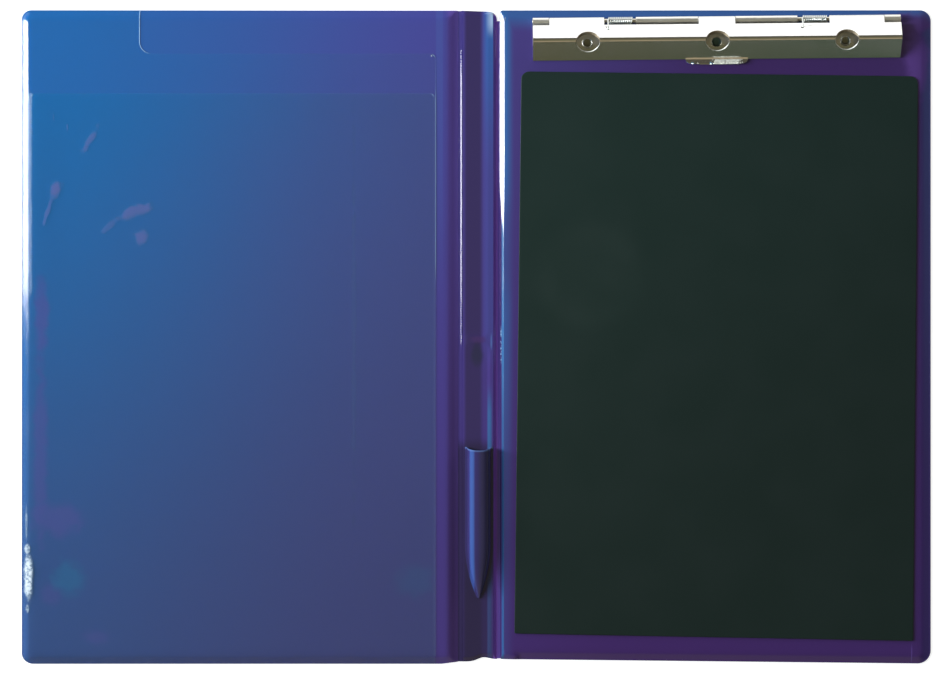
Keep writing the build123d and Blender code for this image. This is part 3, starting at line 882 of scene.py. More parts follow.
def wire(name, route, radius, material):
    """Round wire along a list of points, with slightly narrowed ends."""
    rows = []
    side = None
    last = len(route) - 1
    for i, here in enumerate(route):
        way = (route[min(i + 1, last)] - route[max(i - 1, 0)]).normalized()
        if side is None:
            side = way.orthogonal().normalized()
        side = (side - way * side.dot(way)).normalized()
        up = way.cross(side)
        reach = radius * (0.8 if i in (0, last) else 1.0)
        rows.append([here + (side * c + up * s) * reach for c, s in circle(14)])
    return lofted(name, rows, material, 180)


def torsion_spring(name, jaw_x, material):
    """Closely wound spring with a leg down to the base plate and one over the jaw's slope."""
    base_angle = math.radians(285.0)
    jaw_angle = math.radians(134.0)
    sweep = base_angle - jaw_angle + math.tau * spring_turns
    base_x = jaw_x + coil_start + spring_length
    route = [(base_x, u, z) for u, z in base_leg]
    steps = spring_turns * 28
    for i in range(steps + 1):
        a = base_angle - sweep * i / steps
        route.append((base_x - spring_length * i / steps, spring_radius * math.cos(a),
                      spring_radius * math.sin(a)))
    down, up = math.cos(jaw_slope), math.sin(jaw_slope)
    for along, off in jaw_hook:
        route.append((jaw_x, down * along - up * off, up * along + down * off))
    return wire(name, [on_clip(*p) for p in route], spring_wire / 2, material)


# Nodes

def tone(red, green, blue):
    """A colour from its everyday 0 to 255 values."""
    def linear(value):
        value /= 255
        return value / 12.92 if value <= 0.04045 else ((value + 0.055) / 1.055) ** 2.4
    return (linear(red), linear(green), linear(blue), 1.0)


def is_socket(value):
    """Whether the value comes from a node."""
    return isinstance(value, bpy.types.NodeSocket)


def feed(node, inputs):
    """Gives each of the node's inputs a value or a link."""
    for key, value in inputs.items():
        if is_socket(value):
            node.id_data.links.new(value, node.inputs[key])
        else:
            node.inputs[key].default_value = value
    return node


def add(tree, kind, inputs=None, **settings):
    """A node with its settings and inputs."""
    made = tree.nodes.new(kind)
    for key, value in settings.items():
        setattr(made, key, value)
    return feed(made, inputs or {})


def calc(operation, a, b=0.0):
    """Arithmetic on two values, of which one at least comes from a node."""
    tree = (a if is_socket(a) else b).id_data
    return add(tree, "ShaderNodeMath", {0: a, 1: b}, operation=operation).outputs[0]


def times(first, *others):
    """The product of masks and numbers."""
    for other in others:
        first = calc("MULTIPLY", first, other)
    return first


def ramp(value, low, high, to_low=0.0, to_high=1.0):
    """Smoothly maps value from low..high to to_low..to_high."""
    inputs = {"Value": value, "From Min": low, "From Max": high, "To Min": to_low,
              "To Max": to_high}
    return add(value.id_data, "ShaderNodeMapRange", inputs,
               interpolation_type="SMOOTHSTEP").outputs["Result"]


def band(value, low, high, soft):
    """1 between low and high, with soft borders."""
    return times(ramp(value, low - soft, low + soft), ramp(value, high + soft, high - soft))


def mix(factor, a, b):
    """Colour between a and b."""
    return add(factor.id_data, "ShaderNodeMix", {0: factor, 6: a, 7: b},
               data_type="RGBA").outputs[2]


def painted(hue, coats):
    """The hue under several coats, each a mask, its strength and its colour."""
    for mask, strength, colour in coats:
        hue = mix(times(mask, strength), hue, colour)
    return hue


def cloud(vector, scale, detail, distortion=0.0):
    """Cloudy values between 0 and 1."""
    inputs = {"Vector": vector, "Scale": scale, "Detail": detail, "Distortion": distortion}
    return add(vector.id_data, "ShaderNodeTexNoise", inputs).outputs["Fac"]


def bumped(height, distance, strength=1.0):
    """A bump node over a height."""
    return add(height.id_data, "ShaderNodeBump",
               {"Height": height, "Strength": strength, "Distance": distance})


def place(tree):
    """Position on the piece in metres, as a vector and as x, y, z."""
    vector = add(tree, "ShaderNodeTexCoord").outputs["Object"]
    return vector, add(tree, "ShaderNodeSeparateXYZ", {0: vector}).outputs


def new_group(name, inputs, outputs):
    """An empty node group with named inputs and outputs."""
    tree = bpy.data.node_groups.new(name, "ShaderNodeTree")
    for label, value in inputs.items():
        kind = "Color" if isinstance(value, tuple) else "Float"
        socket = tree.interface.new_socket(label, in_out="INPUT", socket_type="NodeSocket" + kind)
        socket.default_value = value
    for label, kind in outputs.items():
        tree.interface.new_socket(label, in_out="OUTPUT", socket_type="NodeSocket" + kind)
    start = tree.nodes.new("NodeGroupInput")
    return tree, start.outputs, tree.nodes.new("NodeGroupOutput")


def placed(tree, group, values):
    """A group placed in a material, with its inputs by name."""
    made = tree.nodes.new("ShaderNodeGroup")
    made.node_tree = group
    return feed(made, values).outputs


def make_film_hue_and_painted_light():
    """Partly dye, partly painted light: bluer at the lit left and top, then violet, then painted
    dusky shade lower down.
    """
    blue = (0.0, 0.0, 1.0, 1.0)
    tree, given, end = new_group(
        "film_hue_and_painted_light", {"Blue": blue, "Violet": blue, "Dusk": blue, "Blue End": -0.24,
                     "Violet End": 0.0, "Dusk Share": 0.6}, {"Color": "Color"})
    vector, spot = place(tree)
    drift = times(calc("SUBTRACT", cloud(vector, 9.0, 3.0), 0.5), 0.05)
    x = calc("ADD", spot[0], drift)
    y = calc("ADD", spot[1], drift)
    across = ramp(calc("SUBTRACT", x, times(y, 0.18)), given["Blue End"], given["Violet End"])
    hue = mix(across, given["Blue"], given["Violet"])
    hue = mix(times(ramp(y, 0.19, -0.19), given["Dusk Share"]), hue, given["Dusk"])
    feed(end, {"Color": hue})
    return tree


def make_fine_surface():
    """Calendered plastic: faint ripple, fine grain and hand smudges."""
    tree, given, end = new_group(
        "fine_surface", {"Ripple": 0.3, "Grain": 0.1, "Roughness": 0.15, "Smudge": 0.1},
        {"Roughness": "Float", "Normal": "Vector"})
    vector, _ = place(tree)
    smudge = times(ramp(cloud(vector, 22.0, 5.0, 0.6), 0.42, 0.68), given["Smudge"])
    ripple = bumped(times(cloud(vector, 45.0, 2.0), given["Ripple"]), 0.001)
    grain = bumped(times(cloud(vector, 1800.0, 2.0), given["Grain"]), 0.0001)
    feed(grain, {"Normal": ripple.outputs["Normal"]})
    feed(end, {"Roughness": calc("ADD", smudge, given["Roughness"]),
               "Normal": grain.outputs["Normal"]})
    return tree


def make_dust():
    """Sparse specks of dust and short fibres."""
    tree, given, end = new_group("dust", {"Amount": 0.5, "Spacing": 0.012}, {"Mask": "Float"})
    vector, _ = place(tree)
    cells = add(tree, "ShaderNodeTexVoronoi",
                {"Vector": vector, "Scale": calc("DIVIDE", 1.0, given["Spacing"]),
                 "Randomness": 1.0}).outputs
    chosen = add(tree, "ShaderNodeSeparateColor", {0: cells["Color"]}).outputs[0]
    feed(end, {"Mask": times(ramp(cells["Distance"], 0.03, 0.012),
                             calc("LESS_THAN", chosen, given["Amount"]))})
    return tree


def make_handling():
    """Plated metal: fine scratches along it, finger smears and tiny pits."""
    tree, given, end = new_group(
        "handling", {"Roughness": 0.1, "Smear": 0.1, "Scratch": 0.1},
        {"Roughness": "Float", "Normal": "Vector", "Dull": "Float"})
    vector, _ = place(tree)
    stretch = add(tree, "ShaderNodeMapping", {"Vector": vector, "Scale": (35.0, 900.0, 900.0),
                                              "Rotation": (0.0, 0.0, 0.12)})
    scratches = times(cloud(stretch.outputs[0], 1.0, 3.0), given["Scratch"])
    patches = ramp(cloud(vector, 60.0, 4.0, 0.8), 0.45, 0.7)
    feed(end, {"Roughness": calc("ADD", times(patches, given["Smear"]), given["Roughness"]),
               "Normal": bumped(scratches, 0.0001).outputs["Normal"], "Dull": patches})
    return tree


film_hue_and_painted_light = make_film_hue_and_painted_light()
fine_surface = make_fine_surface()
dust = make_dust()
handling = make_handling()


# Materials

def new_material(name):
    """A material with one Principled shader, given back with its node tree."""
    material = bpy.data.materials.new(name)
    material.use_nodes = True
    return material, material.node_tree, material.node_tree.nodes["Principled BSDF"]


def film_material(name, hues, blue_end, violet_end, dusk_share, shade):
    """Glossy dyed soft film, its hue partly painted light. shade adds dye tints, painted light
    and painted shade by place.
    """
    material, tree, shader = new_material(name)
    blue, violet, dusk = (tone(*hue) for hue in hues)
    hue = placed(tree, film_hue_and_painted_light, {"Blue": blue, "Violet": violet, "Dusk": dusk,
                                  "Blue End": blue_end, "Violet End": violet_end,
                                  "Dusk Share": dusk_share})["Color"]
    specks = placed(tree, dust, {"Amount": 0.16, "Spacing": 0.014})["Mask"]
    surface = placed(tree, fine_surface, {"Ripple": 0.05, "Grain": 0.10, "Roughness": 0.09,
                                          "Smudge": 0.05})
    feed(shader, {"Base Color": mix(times(specks, 0.5), shade(tree, hue), tone(120, 150, 200)),
                  "Roughness": surface["Roughness"], "Normal": surface["Normal"], "IOR": 1.54,
                  "Coat Weight": 0.3, "Coat Roughness": 0.06})
    return material


def soft_patch(tree, x, y, half_length, half_width, turn=0.0, feather=0.9):
    """A mask with a feathery border, 1 inside an oval. Sizes in mm, turn in degrees."""
    vector, _ = place(tree)
    mapped = add(tree, "ShaderNodeMapping",
                 {"Vector": vector, "Location": at(x, y, 0.0),
                  "Rotation": (0.0, 0.0, math.radians(turn)),
                  "Scale": (half_length * mm, half_width * mm, 1.0)}, vector_type="TEXTURE")
    flat = add(tree, "ShaderNodeVectorMath", {0: mapped.outputs[0], 1: (1.0, 1.0, 0.0)},
               operation="MULTIPLY").outputs[0]
    reach = add(tree, "ShaderNodeVectorMath", {0: flat}, operation="LENGTH").outputs["Value"]
    frayed = times(calc("SUBTRACT", cloud(vector, 150.0, 4.0, 0.6), 0.5), feather * 2.0)
    return ramp(calc("ADD", reach, frayed), 1.0, 0.35)


# Where the front cover's dye looks purple or teal: x, y, half length, half width, strength
purple_places = [(-228.8, 12.0, 5.4, 24.0, 1.0), (-229.6, -57.0, 5.2, 62.0, 0.8),
                 (-220.4, -96.4, 18.0, 12.0, 0.8), (-223.6, -135.4, 7.4, 7.4, 0.5),
                 (-199.9, -158.1, 10.5, 5.0, 0.5)]
teal_places = [(-215.1, -127.0, 11.0, 12.0, 0.7), (-32.3, -128.1, 13.0, 12.0, 0.25)]


def left_shade(tree, hue):
    """The front cover: uneven dye, a blue margin, and painted light on its slope to the hinge,
    paler at the top.
    """
    _, (x, y, _) = place(tree)
    coats = []
    for places, colour in ((purple_places, tone(84, 66, 146)), (teal_places, tone(44, 100, 148))):
        coats += [(soft_patch(tree, *patch, feather=0.5), strength, colour)
                  for *patch, strength in places]
    # Painted light lifting the slope that faces away from the lamp: paler at the top, duskier
    # lower down
    slope_painted_light = mix(ramp(y, -0.14, 0.12), tone(76, 54, 112), tone(98, 78, 164))
    coats += [
        (band(x, -0.0212, -0.0176, 0.0004), ramp(y, 0.0, 0.14, 0.0, 0.8), tone(72, 84, 160)),
        (ramp(x, -0.0165, -0.0130), 0.9, slope_painted_light),
    ]
    return painted(hue, coats)


def back_shade(tree, hue):
    """Painted reflections and shade on the back cover's film, a lifted patch in the clip's shadow
    and a painted crease.
    """
    vector, (x, y, _) = place(tree)
    # Painted reflection: bluer beside the hinge, weaker lower down and in one band, and along the
    # upper edge
    faded = calc("SUBTRACT", 1.0, times(band(y, 0.024, 0.072, 0.016), 0.5))
    beside = times(ramp(x, 0.0205, 0.0155), ramp(y, -0.17, 0.14, 0.15, 1.0), faded)
    upper = times(ramp(y, 0.160, 0.170), 0.85)
    foot = times(ramp(x, 0.0140, 0.0132), ramp(y, 0.09, 0.06))
    line_painted_reflection = mix(ramp(y, 0.0, -0.05), tone(52, 104, 154), tone(46, 82, 130))
    dotted = times(band(x, 0.0128, 0.0133, 0.0002), band(y, -0.012, 0.004, 0.003),
                   ramp(cloud(vector, 1100.0, 1.0), 0.48, 0.60))
    return painted(hue, [
        (calc("MAXIMUM", beside, upper), 1.0, tone(52, 96, 156)),
        # Painted shade at the foot of the climb to the back cover
        (foot, 1.0, tone(62, 44, 102)),
        # Painted reflection: a thin blue line along the top of the steep climb
        (band(x, 0.0134, 0.0146, 0.0003), ramp(y, 0.10, 0.06, 0.0, 0.95), line_painted_reflection),
        # Painted glints: pale blue dots on the lower part of the climb
        (dotted, 1.0, tone(150, 200, 235)),
        # Painted reflection: bluer along the right edge, more towards the top
        (ramp(x, 0.2325, 0.2375), ramp(y, -0.12, 0.12, 0.25, 0.8), tone(64, 74, 126)),
        # Purple at the top right corner, painted to take the blue reflections back out there
        (soft_patch(tree, 227.0, 165.0, 22.0, 8.0, feather=0.4), 0.8, tone(80, 50, 114)),
        # Painted light lifting the clip's cast shadow to the right of the clip
        (soft_patch(tree, 232.0, 147.0, 9.0, 26.0, feather=0.4), 0.85, tone(90, 60, 136)),
        # Painted light on a small crease near the lower right corner: a thin paler line
        (soft_patch(tree, 229.4, -167.0, 0.45, 6.5, feather=0.3), 0.6, tone(98, 72, 150)),
    ])


# Painted light round the dent: a paler fold, painted shade under it and a painted highlight on
# the raised band
dent_painted_light = [(1.2, -1.4, 5.5, 2.6, 0.45, (78, 48, 104)),
              (0.6, -9.5, 4.2, 8.5, 0.6, (38, 44, 62)),
              (7.9, -2.6, 0.6, 5.5, 0.7, (84, 118, 178))]


def spine_shade(tree, hue):
    """Painted shade in the spine's hollow and round the pouch; painted light on its bands,
    valley, wall, curl and dent.
    """
    _, (x, y, _) = place(tree)
    # Painted shade in the spine's hollow
    hollow = times(ramp(x, -0.0072, -0.0048), ramp(x, 0.0042, 0.0015))
    # Painted light on the raised band, stronger towards the top
    upper = times(ramp(x, 0.0022, 0.0062), ramp(x, 0.0092, 0.0086),
                  ramp(y, 0.08, 0.165, 0.2, 1.0), ramp(y, -0.020, 0.010))
    # Painted shade round the pen pouch, where its shadow falls
    pouch_zone = times(ramp(y, -0.052, -0.060), ramp(x, 0.0095, 0.0070))
    # Painted light on the narrow raised band below the dent
    narrow = times(band(x, 0.0059, 0.0081, 0.0004), ramp(y, -0.022, -0.042),
                   ramp(y, -0.075, -0.055, 0.3, 1.0))
    # Painted light lifting the valley before the back cover, more lower down
    valley_painted_light = mix(ramp(y, 0.0, -0.12), tone(74, 52, 138), tone(104, 78, 170))
    # Painted highlight where the raised band curls up at its top end
    curl_painted_highlight = times(ramp(y, 0.1565, 0.1665), ramp(x, 0.0045, 0.0084), ramp(x, 0.0089, 0.0086))
    coats = [
        (hollow, 0.8, tone(52, 42, 82)),
        (upper, 0.9, tone(50, 98, 168)),
        (pouch_zone, 0.7, tone(38, 32, 60)),
        (narrow, 0.8, tone(52, 100, 152)),
        (ramp(x, 0.0090, 0.0098), 0.8, valley_painted_light),
        # Painted light lifting the wall that faces away from the lamp
        (band(x, 0.0092, 0.0112, 0.0004), 0.9, tone(122, 76, 180)),
        (curl_painted_highlight, 0.9, tone(170, 196, 230)),
    ]
    coats += [(soft_patch(tree, *patch, feather=0.35), strength, tone(*colour))
              for *patch, strength, colour in dent_painted_light]
    return painted(hue, coats)


def pouch_shade(tree, hue):
    """The pouch: a painted highlight along its left shoulder, painted shade on its right side, a
    painted lit lip.
    """
    _, (x, _, _) = place(tree)
    lip = add(tree, "ShaderNodeAttribute", attribute_name="lip").outputs["Fac"]
    return painted(hue, [
        # Painted shade on the right side, away from the lamp
        (ramp(x, 0.0002, 0.0030), 0.85, tone(48, 45, 76)),
        # Painted highlight along the left shoulder
        (band(x, -0.0034, -0.0010, 0.0006), 0.85, tone(58, 84, 152)),
        # Painted highlight on the rim of the mouth
        (lip, 0.8, tone(98, 124, 184)),
    ])


def clip_level(tree):
    """Position, and the distance across the clip, as y at its middle."""
    vector, spot = place(tree)
    along = calc("SUBTRACT", spot[0], clip_centre[0] * mm)
    return vector, spot, calc("SUBTRACT", spot[1], times(along, math.tan(clip_turn)))


def base_upper_band(tree):
    """Brighter and rougher from about 150 mm up across the clip: round the rivets and the rolled
    part at the rod.
    """
    return ramp(clip_level(tree)[2], 0.1500, 0.1570)


def lip_painted_light_mask(tree):
    """Where the painted light covers an access hole's lip: nearly all round, a little less in
    small mottled spots.
    """
    return ramp(cloud(place(tree)[0], 900.0, 2.0), 0.30, 0.45, 0.8, 1.0)


def lip_painted_light_colour(tree):
    """Painted light on the lip: brown above where it lies in dark shade, a painted highlight
    along the lower rim.
    """
    return mix(ramp(clip_level(tree)[2], 0.1535, 0.1555), (0.97, 0.97, 0.90, 1),
               tone(122, 108, 82))


def thumb_tab_painted_highlight(tree):
    """Painted highlight on the tab's turned-up part: near-white, rougher, less metallic, mottled.
    """
    vector, spot, level = clip_level(tree)
    mottle = cloud(vector, 700.0, 2.0)
    shift = times(calc("SUBTRACT", mottle, 0.5), 0.009)
    return times(band(calc("ADD", spot[0], shift), 0.1248, 0.1392, 0.0008),
                 ramp(calc("ADD", level, times(shift, 0.1)), 0.1465, 0.1459),
                 ramp(mottle, 0.40, 0.52, 0.5, 1.0))


def steel_material(name, colour, roughness, smear, scratch, overlay_mask=None, overlay_look=None):
    """Bright plated steel with handling marks. The last two arguments: a mask, and the colour,
    added roughness and lost metallic share where it is 1 (painted light on tab and hole lips)."""
    material, tree, shader = new_material(name)
    marks = placed(tree, handling, {"Roughness": roughness, "Smear": smear, "Scratch": scratch})
    duller = tuple(0.93 * c for c in colour) + (1.0,)
    plated = mix(marks["Dull"], colour + (1.0,), duller)
    rough = marks["Roughness"]
    metal = 1.0
    if overlay_mask:
        overlay_colour, roughened, dulled = overlay_look
        if callable(overlay_colour):
            overlay_colour = overlay_colour(tree)
        mask = overlay_mask(tree)
        plated = mix(mask, plated, overlay_colour)
        rough = calc("ADD", rough, times(mask, roughened))
        metal = calc("SUBTRACT", 1.0, times(mask, dulled))
    feed(shader, {"Base Color": plated, "Roughness": rough, "Metallic": metal,
                  "Normal": marks["Normal"]})
    return material


def mat_material():
    """Dark satin writing mat with a faint painted reflection: a lighter round disc."""
    material, tree, shader = new_material("writing_mat_finish")
    vector, (x, y, _) = place(tree)
    upper_left = ramp(calc("SUBTRACT", y, times(x, 0.7)), -0.25, 0.15)
    clouds = cloud(vector, 30.0, 4.0)
    # Painted reflection: a faint lighter disc on the mat
    from_painted_reflection = add(tree, "ShaderNodeVectorMath", {0: vector, 1: at(59.9, 32.7, 3.5)},
                    operation="DISTANCE").outputs["Value"]
    disc = times(ramp(from_painted_reflection, 0.034, 0.022), ramp(clouds, 0.2, 0.7, 0.5, 1.0))
    specks = placed(tree, dust, {"Amount": 0.10, "Spacing": 0.016})["Mask"]
    base = painted(mix(upper_left, tone(25, 39, 36), tone(29, 48, 44)),
                   [(disc, 0.5, tone(36, 52, 48)), (specks, 0.5, tone(110, 120, 120))])
    grain = bumped(cloud(vector, 2600.0, 3.0), 0.0001, 0.35).outputs["Normal"]
    feed(shader, {"Base Color": base, "Roughness": ramp(clouds, 0.3, 0.7, 0.38, 0.46),
                  "Normal": grain, "Specular IOR Level": 0.25})
    return material


def strongest(tree, patches, feather):
    """The strongest of several patches (x, y, half length, half width, turn, strength)."""
    total = 0.0
    for *patch, strength in patches:
        total = calc("MAXIMUM", times(soft_patch(tree, *patch, feather), strength), total)
    return total


def clear_film_material(name, haze, smears, painted_glints):
    """Clear soft film, its teal cast partly painted light: painted highlights on cut edges,
    smears and painted glints.
    """
    material, tree, shader = new_material(name)
    edge = add(tree, "ShaderNodeAttribute", attribute_name="edge").outputs["Fac"]
    smeared = strongest(tree, smears, 0.9)
    mottle = ramp(cloud(place(tree)[0], 600.0, 2.0), 0.34, 0.58, 0.55, 1.0)
    # Painted glints: near-white mottled patches where the film is wrinkled
    painted_glint_mask = times(strongest(tree, painted_glints, 0.4), mottle)
    specks = placed(tree, dust, {"Amount": 0.25, "Spacing": 0.011})["Mask"]
    colour = placed(tree, film_hue_and_painted_light, {"Blue": tone(0, 144, 214), "Violet": tone(86, 118, 162),
                                     "Dusk": tone(72, 102, 128), "Blue End": -0.24,
                                     "Violet End": -0.02, "Dusk Share": 0.7})["Color"]
    alpha = calc("ADD", haze, times(smeared, 0.24))
    colour = mix(smeared, colour, tone(112, 126, 192))
    # Dust specks, then the painted glints and the painted highlights on the cut edges
    for mask, cover, hue in ((specks, 0.35, tone(120, 160, 215)),
                             (painted_glint_mask, 0.85, tone(226, 236, 244)),
                             (edge, 0.85, tone(180, 212, 242))):
        colour = mix(mask, colour, hue)
        alpha = calc("MAXIMUM", alpha, times(mask, cover))
    surface = placed(tree, fine_surface, {"Ripple": 0.10, "Grain": 0.1, "Roughness": 0.08,
                                          "Smudge": 0.06})
    feed(shader, {"Base Color": colour, "Alpha": alpha, "Roughness": surface["Roughness"],
                  "Normal": surface["Normal"], "IOR": 1.52})
    return material


def board_material():
    """Grey pressed board with visible fibres."""
    material, tree, shader = new_material("grey_board_finish")
    fibres = cloud(place(tree)[0], 900.0, 5.0)
    feed(shader, {"Base Color": mix(fibres, tone(150, 146, 138), tone(188, 182, 172)),
                  "Normal": bumped(fibres, 0.0001, 0.4).outputs["Normal"], "Roughness": 0.9})
    return material


def floor_material():
    """White paper sweep that stays white to the camera and keeps the shadow."""
    material, tree, shader = new_material("paper_floor")
    rays = add(tree, "ShaderNodeLightPath").outputs
    seen = calc("MAXIMUM", rays["Is Camera Ray"],
                calc("MAXIMUM", rays["Is Glossy Ray"], rays["Is Transmission Ray"]))
    fibre = cloud(place(tree)[0], 500.0, 3.0)
    feed(shader, {"Base Color": mix(fibre, (0.52, 0.52, 0.52, 1), (0.56, 0.56, 0.56, 1)),
                  "Roughness": 0.9, "Specular IOR Level": 0.0, "Emission Color": (1, 1, 1, 1),
                  "Emission Strength": times(seen, 0.80)})
    return material


front_film = film_material("front_cover_film", ((36, 95, 163), (76, 68, 151), (67, 44, 106)),
                           -0.26, 0.02, 0.62, left_shade)
spine_film = film_material("spine_film", ((74, 64, 140), (72, 60, 136), (66, 46, 108)),
                           -0.02, 0.02, 0.6, spine_shade)
back_film = film_material("back_cover_film", ((71, 61, 131), (62, 38, 100), (65, 35, 104)),
                          -0.02, 0.12, 0.7, back_shade)
pouch_film = film_material("pouch_film", ((66, 72, 140), (60, 56, 118), (50, 40, 84)),
                           -0.006, 0.008, 0.7, pouch_shade)
# The tall film's last list holds a painted glint at its top right corner
tall_clear = clear_film_material(
    "tall_pocket_clear", 0.06,
    [(-64.5, 6.0, 1.6, 124.0, 0.0, 0.3)],
    [(-23.6, 148.1, 0.6, 0.6, 0.0, 1.0)])
# The short film's last list holds its painted glints on the wrinkled film at the left edge
short_clear = clear_film_material(
    "short_pocket_clear", 0.10,
    [(-203.5, 103.8, 10.0, 2.5, 59.0, 0.8), (-221.5, 77.5, 5.2, 3.6, 65.0, 1.0),
     (-225.7, 65.9, 9.5, 1.3, 72.5, 0.8), (-178.8, 66.4, 9.0, 4.7, 10.0, 0.9),
     (-193.0, 59.0, 7.4, 2.0, 40.0, 0.6), (-176.7, 52.2, 5.3, 4.2, 60.0, 0.9),
     (-222.7, 115.9, 0.3, 2.6, 0.0, 0.9), (-215.4, 110.1, 0.3, 2.6, 0.0, 0.9)],
    [(-236.6, -111.5, 2.4, 3.8, 0.0, 0.75), (-236.0, -127.0, 3.4, 16.0, 0.0, 0.95),
     (-236.4, -143.0, 1.4, 3.4, 0.0, 0.5), (-237.0, -98.0, 1.1, 12.0, 0.0, 0.45)])
mat_finish = mat_material()
jaw_steel = steel_material("jaw_plated_steel", (0.82, 0.82, 0.79), 0.14, 0.04, 0.05)
# The tab's painted highlight: near-white, rougher, less metallic
tab_steel = steel_material("thumb_tab_steel", (0.82, 0.82, 0.78), 0.16, 0.04, 0.3,
                           thumb_tab_painted_highlight, ((0.97, 0.98, 0.87, 1), 0.30, 0.85))
base_steel = steel_material("base_plated_steel", (0.50, 0.54, 0.50), 0.06, 0.04, 0.10,
                            base_upper_band, ((0.95, 0.92, 0.83, 1), 0.34, 0.0))
# Painted light on the hole lips, with a painted highlight along their lower rims
lip_steel = steel_material("hole_lip_steel", (0.82, 0.82, 0.79), 0.16, 0.04, 0.05,
                           lip_painted_light_mask, (lip_painted_light_colour, 0.30, 0.85))
rivet_steel = steel_material("rivet_plated_steel", (0.92, 0.92, 0.88), 0.30, 0.08, 0.1)
# Dark dull steels of the bore and spare hole floors: painted shade in these hollows
bore_painted_shade_steel = steel_material("rivet_bore_painted_shade", (0.32, 0.31, 0.22), 0.35, 0.10, 0.2)
spare_hole_painted_shade_steel = steel_material("spare_hole_painted_shade", (0.14, 0.22, 0.19), 0.40, 0.10, 0.2)
rod_steel = steel_material("rod_drawn_steel", (0.76, 0.71, 0.60), 0.30, 0.10, 0.3)
spring_steel = steel_material("spring_wire_steel", (0.78, 0.80, 0.76), 0.20, 0.08, 0.1)
grey_board = board_material()


# Pieces

# Recesses in the back cover's outer face for the rivets' heads: x, y, radius
head_recesses = [(*on_clip(x, rivet_u, 0).xy, 4.6) for x in (-rivet_x, rivet_x)]

front_skin = panel_skin("front_cover_skin", front_corners, front_rim, front_shoulder,
                        front_edge_steps, front_film)
back_skin = panel_skin("back_cover_skin", back_corners, back_rim, back_shoulder,
                       back_edge_steps, back_film, head_recesses)
tall_pocket = sheet_over("tall_pocket_sheet", tall_rows(), tall_clear, tall_lifted, front_skin)
short_pocket = sheet_over("short_pocket_sheet",
                          pocket_rows(short_right, short_top, short_corner, short_inset),
                          short_clear, short_lifted, tall_pocket)
jaw = softened_copy("jaw_plate", "jaw_shell", jaw_steel, 0.14, cut_off=20.4)
base = softened_copy("clip_base_plate", "base_plate_sheet", base_steel, 0.1)

# Each piece with the body it rides on, its material slot and the solids it stands for
riders = [
    (front_skin, "front_cover", "blue_film", ("front_inner_film", "front_outer_film")),
    (back_skin, "back_cover", "blue_film", ("back_inner_film", "back_outer_film")),
    (spine_skin(spine_film), "spine", "blue_film", ("spine_inner_film", "spine_outer_film")),
    (tall_pocket, "front_cover", "clear_film", ("tall_pocket_film",)),
    (short_pocket, "front_cover", "clear_film", ("short_pocket_film",)),
    (writing_mat(mat_finish), "back_cover", "writing_mat", ("writing_mat",)),
    (pen_pouch(pouch_film), "spine", "pouch_film", ("pen_pouch",)),
    (jaw, "clip_jaw", "jaw_steel", ("jaw_plate",)),
    (thumb_lip(tab_steel), "clip_jaw", "jaw_steel", ("jaw_plate",)),
    (base, "back_cover", "base_steel", ("clip_base_plate",)),
    (bore_cup("spare_hole_floor", 0.0, 2.18, spare_hole_painted_shade_steel), "back_cover", "base_steel",
     ("clip_base_plate",)),
]
for side, x in (("left", -rivet_x), ("right", rivet_x)):
    for made in (rivet("rivet_" + side, x, rivet_steel),
                 bore_cup("rivet_bore_" + side, x, 2.03, bore_painted_shade_steel)):
        riders.append((made, "back_cover", "rivet_steel", ("clip_rivets",)))
for side, x in (("left", -rivet_x), ("middle", 0.0), ("right", rivet_x)):
    riders.append((hole_lip("hole_lip_" + side, x, jaw, lip_steel), "clip_jaw", "jaw_steel",
                   ("jaw_plate",)))
for piece, body, slot, nodes in riders:
    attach(piece, body)
    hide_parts(*nodes)

front_seam = hinge_seam("front_hinge_seam", (-10.0, -7.35), -7.35, (-171.1, 171.9),
                        (-9.6, -7.4), spine_film)
back_seam = hinge_seam("back_hinge_seam", (10.4, 12.95), 12.4, (-169.5, 166.6),
                       (10.9, 12.5), spine_film)

# Each bending piece with its two bodies, where its bend starts and ends, its slot and its solid
bends = [
    (front_seam, "front_cover", "spine", at(front_hinge_x - weld_half_width, 0, 0),
     at(front_hinge_x + weld_half_width, 0, 0), "blue_film", "front_hinge_weld"),
    (back_seam, "spine", "back_cover", at(back_hinge_x - weld_half_width, 0, 0),
     at(back_hinge_x + weld_half_width, 0, 0), "blue_film", "back_hinge_weld"),
]
for name, x, node in spring_places:
    base_end = clip_place @ at(x + coil_start + spring_length - 0.2, 0, 0)
    jaw_end = clip_place @ at(x + coil_start + 0.2, 0, 0)
    bends.append((torsion_spring(name, x, spring_steel), "back_cover", "clip_jaw", base_end,
                  jaw_end, "spring_steel", node))
for piece, first, second, start, end, slot, node in bends:
    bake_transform(piece)
    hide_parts(node)

for node, material in (("hinge_rod", rod_steel), ("front_board", grey_board),
                       ("spine_board", grey_board), ("back_board", grey_board)):
    for material_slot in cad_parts[node].material_slots:
        material_slot.material = material


# Floor, light and camera

def paper_floor():
    """A wide sheet of paper that the folder lies on."""
    half = 4000.0
    corners = [(-half, -half, -0.15), (half, -half, -0.15), (half, half, -0.15),
               (-half, half, -0.15)]
    sheet = raw_shape(corners, [(0, 1, 2, 3)])
    finished("paper_floor", sheet, floor_material(), 180)


def soft_light(name, spot, target, width, height, glow):
    """A rectangular lamp whose face has the brightness glow."""
    lamp = bpy.data.lights.new(name, "AREA")
    lamp.shape = "RECTANGLE"
    lamp.size = width * mm
    lamp.size_y = height * mm
    lamp.energy = glow * math.pi * lamp.size * lamp.size_y
    holder = bpy.data.objects.new(name, lamp)
    holder.location = at(*spot)
    aim = at(*target) - holder.location
    holder.rotation_euler = aim.to_track_quat("-Z", "Y").to_euler()
    holder.visible_camera = False
    scene.collection.objects.link(holder)


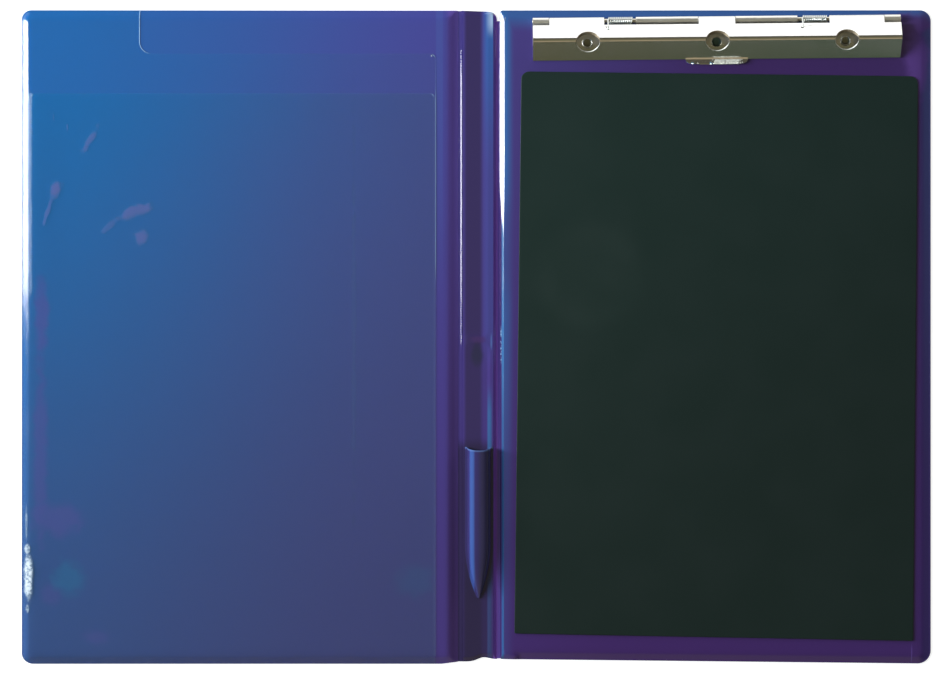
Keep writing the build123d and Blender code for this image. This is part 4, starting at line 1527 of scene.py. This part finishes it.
def studio_world():
    """A bright soft wall behind the folder's top edge, a blue one at its left, dim elsewhere."""
    world = bpy.data.worlds.new("studio")
    scene.world = world
    world.use_nodes = True
    tree = world.node_tree
    way = add(tree, "ShaderNodeTexCoord").outputs["Generated"]
    x, y, z = add(tree, "ShaderNodeSeparateXYZ", {0: way}).outputs
    behind = times(ramp(y, 0.14, 0.34), ramp(z, 0.50, 0.44))
    at_left = times(ramp(x, -0.30, -0.55), ramp(z, 0.93, 0.75))
    studio = mix(ramp(x, 0.0, 0.13), (0.105, 0.100, 0.058, 1), (0.062, 0.086, 0.062, 1))
    for mask, glow in ((ramp(z, 0.16, 0.36), (0.42, 0.34, 0.22, 1)),
                       (ramp(z, 0.55, 0.96), (0.16, 0.145, 0.085, 1)),
                       (ramp(y, 0.12, 0.30), (0.09, 0.08, 0.06, 1)),
                       (ramp(x, 0.2, 0.6), (0.07, 0.07, 0.06, 1)),
                       (at_left, (0.16, 0.42, 0.68, 1)),
                       (behind, (1.55, 1.55, 1.55, 1))):
        studio = mix(mask, studio, glow)
    rays = add(tree, "ShaderNodeLightPath").outputs
    near_floor = times(ramp(z, 0.12, 0.02), ramp(y, -0.1, 0.2))
    seen = calc("MAXIMUM", calc("MAXIMUM", rays["Is Camera Ray"], rays["Is Transmission Ray"]),
                times(rays["Is Glossy Ray"], near_floor))
    feed(tree.nodes["Background"], {"Color": mix(seen, studio, (1, 1, 1, 1))})


def photo_camera():
    """Camera straight above the folder, framed as the photograph is."""
    lens = bpy.data.cameras.new("photo_camera")
    lens.sensor_width = sensor_width
    lens.lens = sensor_width * (camera_height - 2.0) / (photo_width * mm_per_px)
    lens.clip_start = 0.01
    holder = bpy.data.objects.new("photo_camera", lens)
    holder.location = at((photo_width / 2 - folder_middle_px) * mm_per_px, 0.0, camera_height)
    scene.collection.objects.link(holder)
    scene.camera = holder


paper_floor()
soft_light("left_window", (-1200, 177, 880), (-200, 177, 880), 288, 1480, 26.0)
studio_world()
photo_camera()
scene.view_settings.view_transform = "Standard"
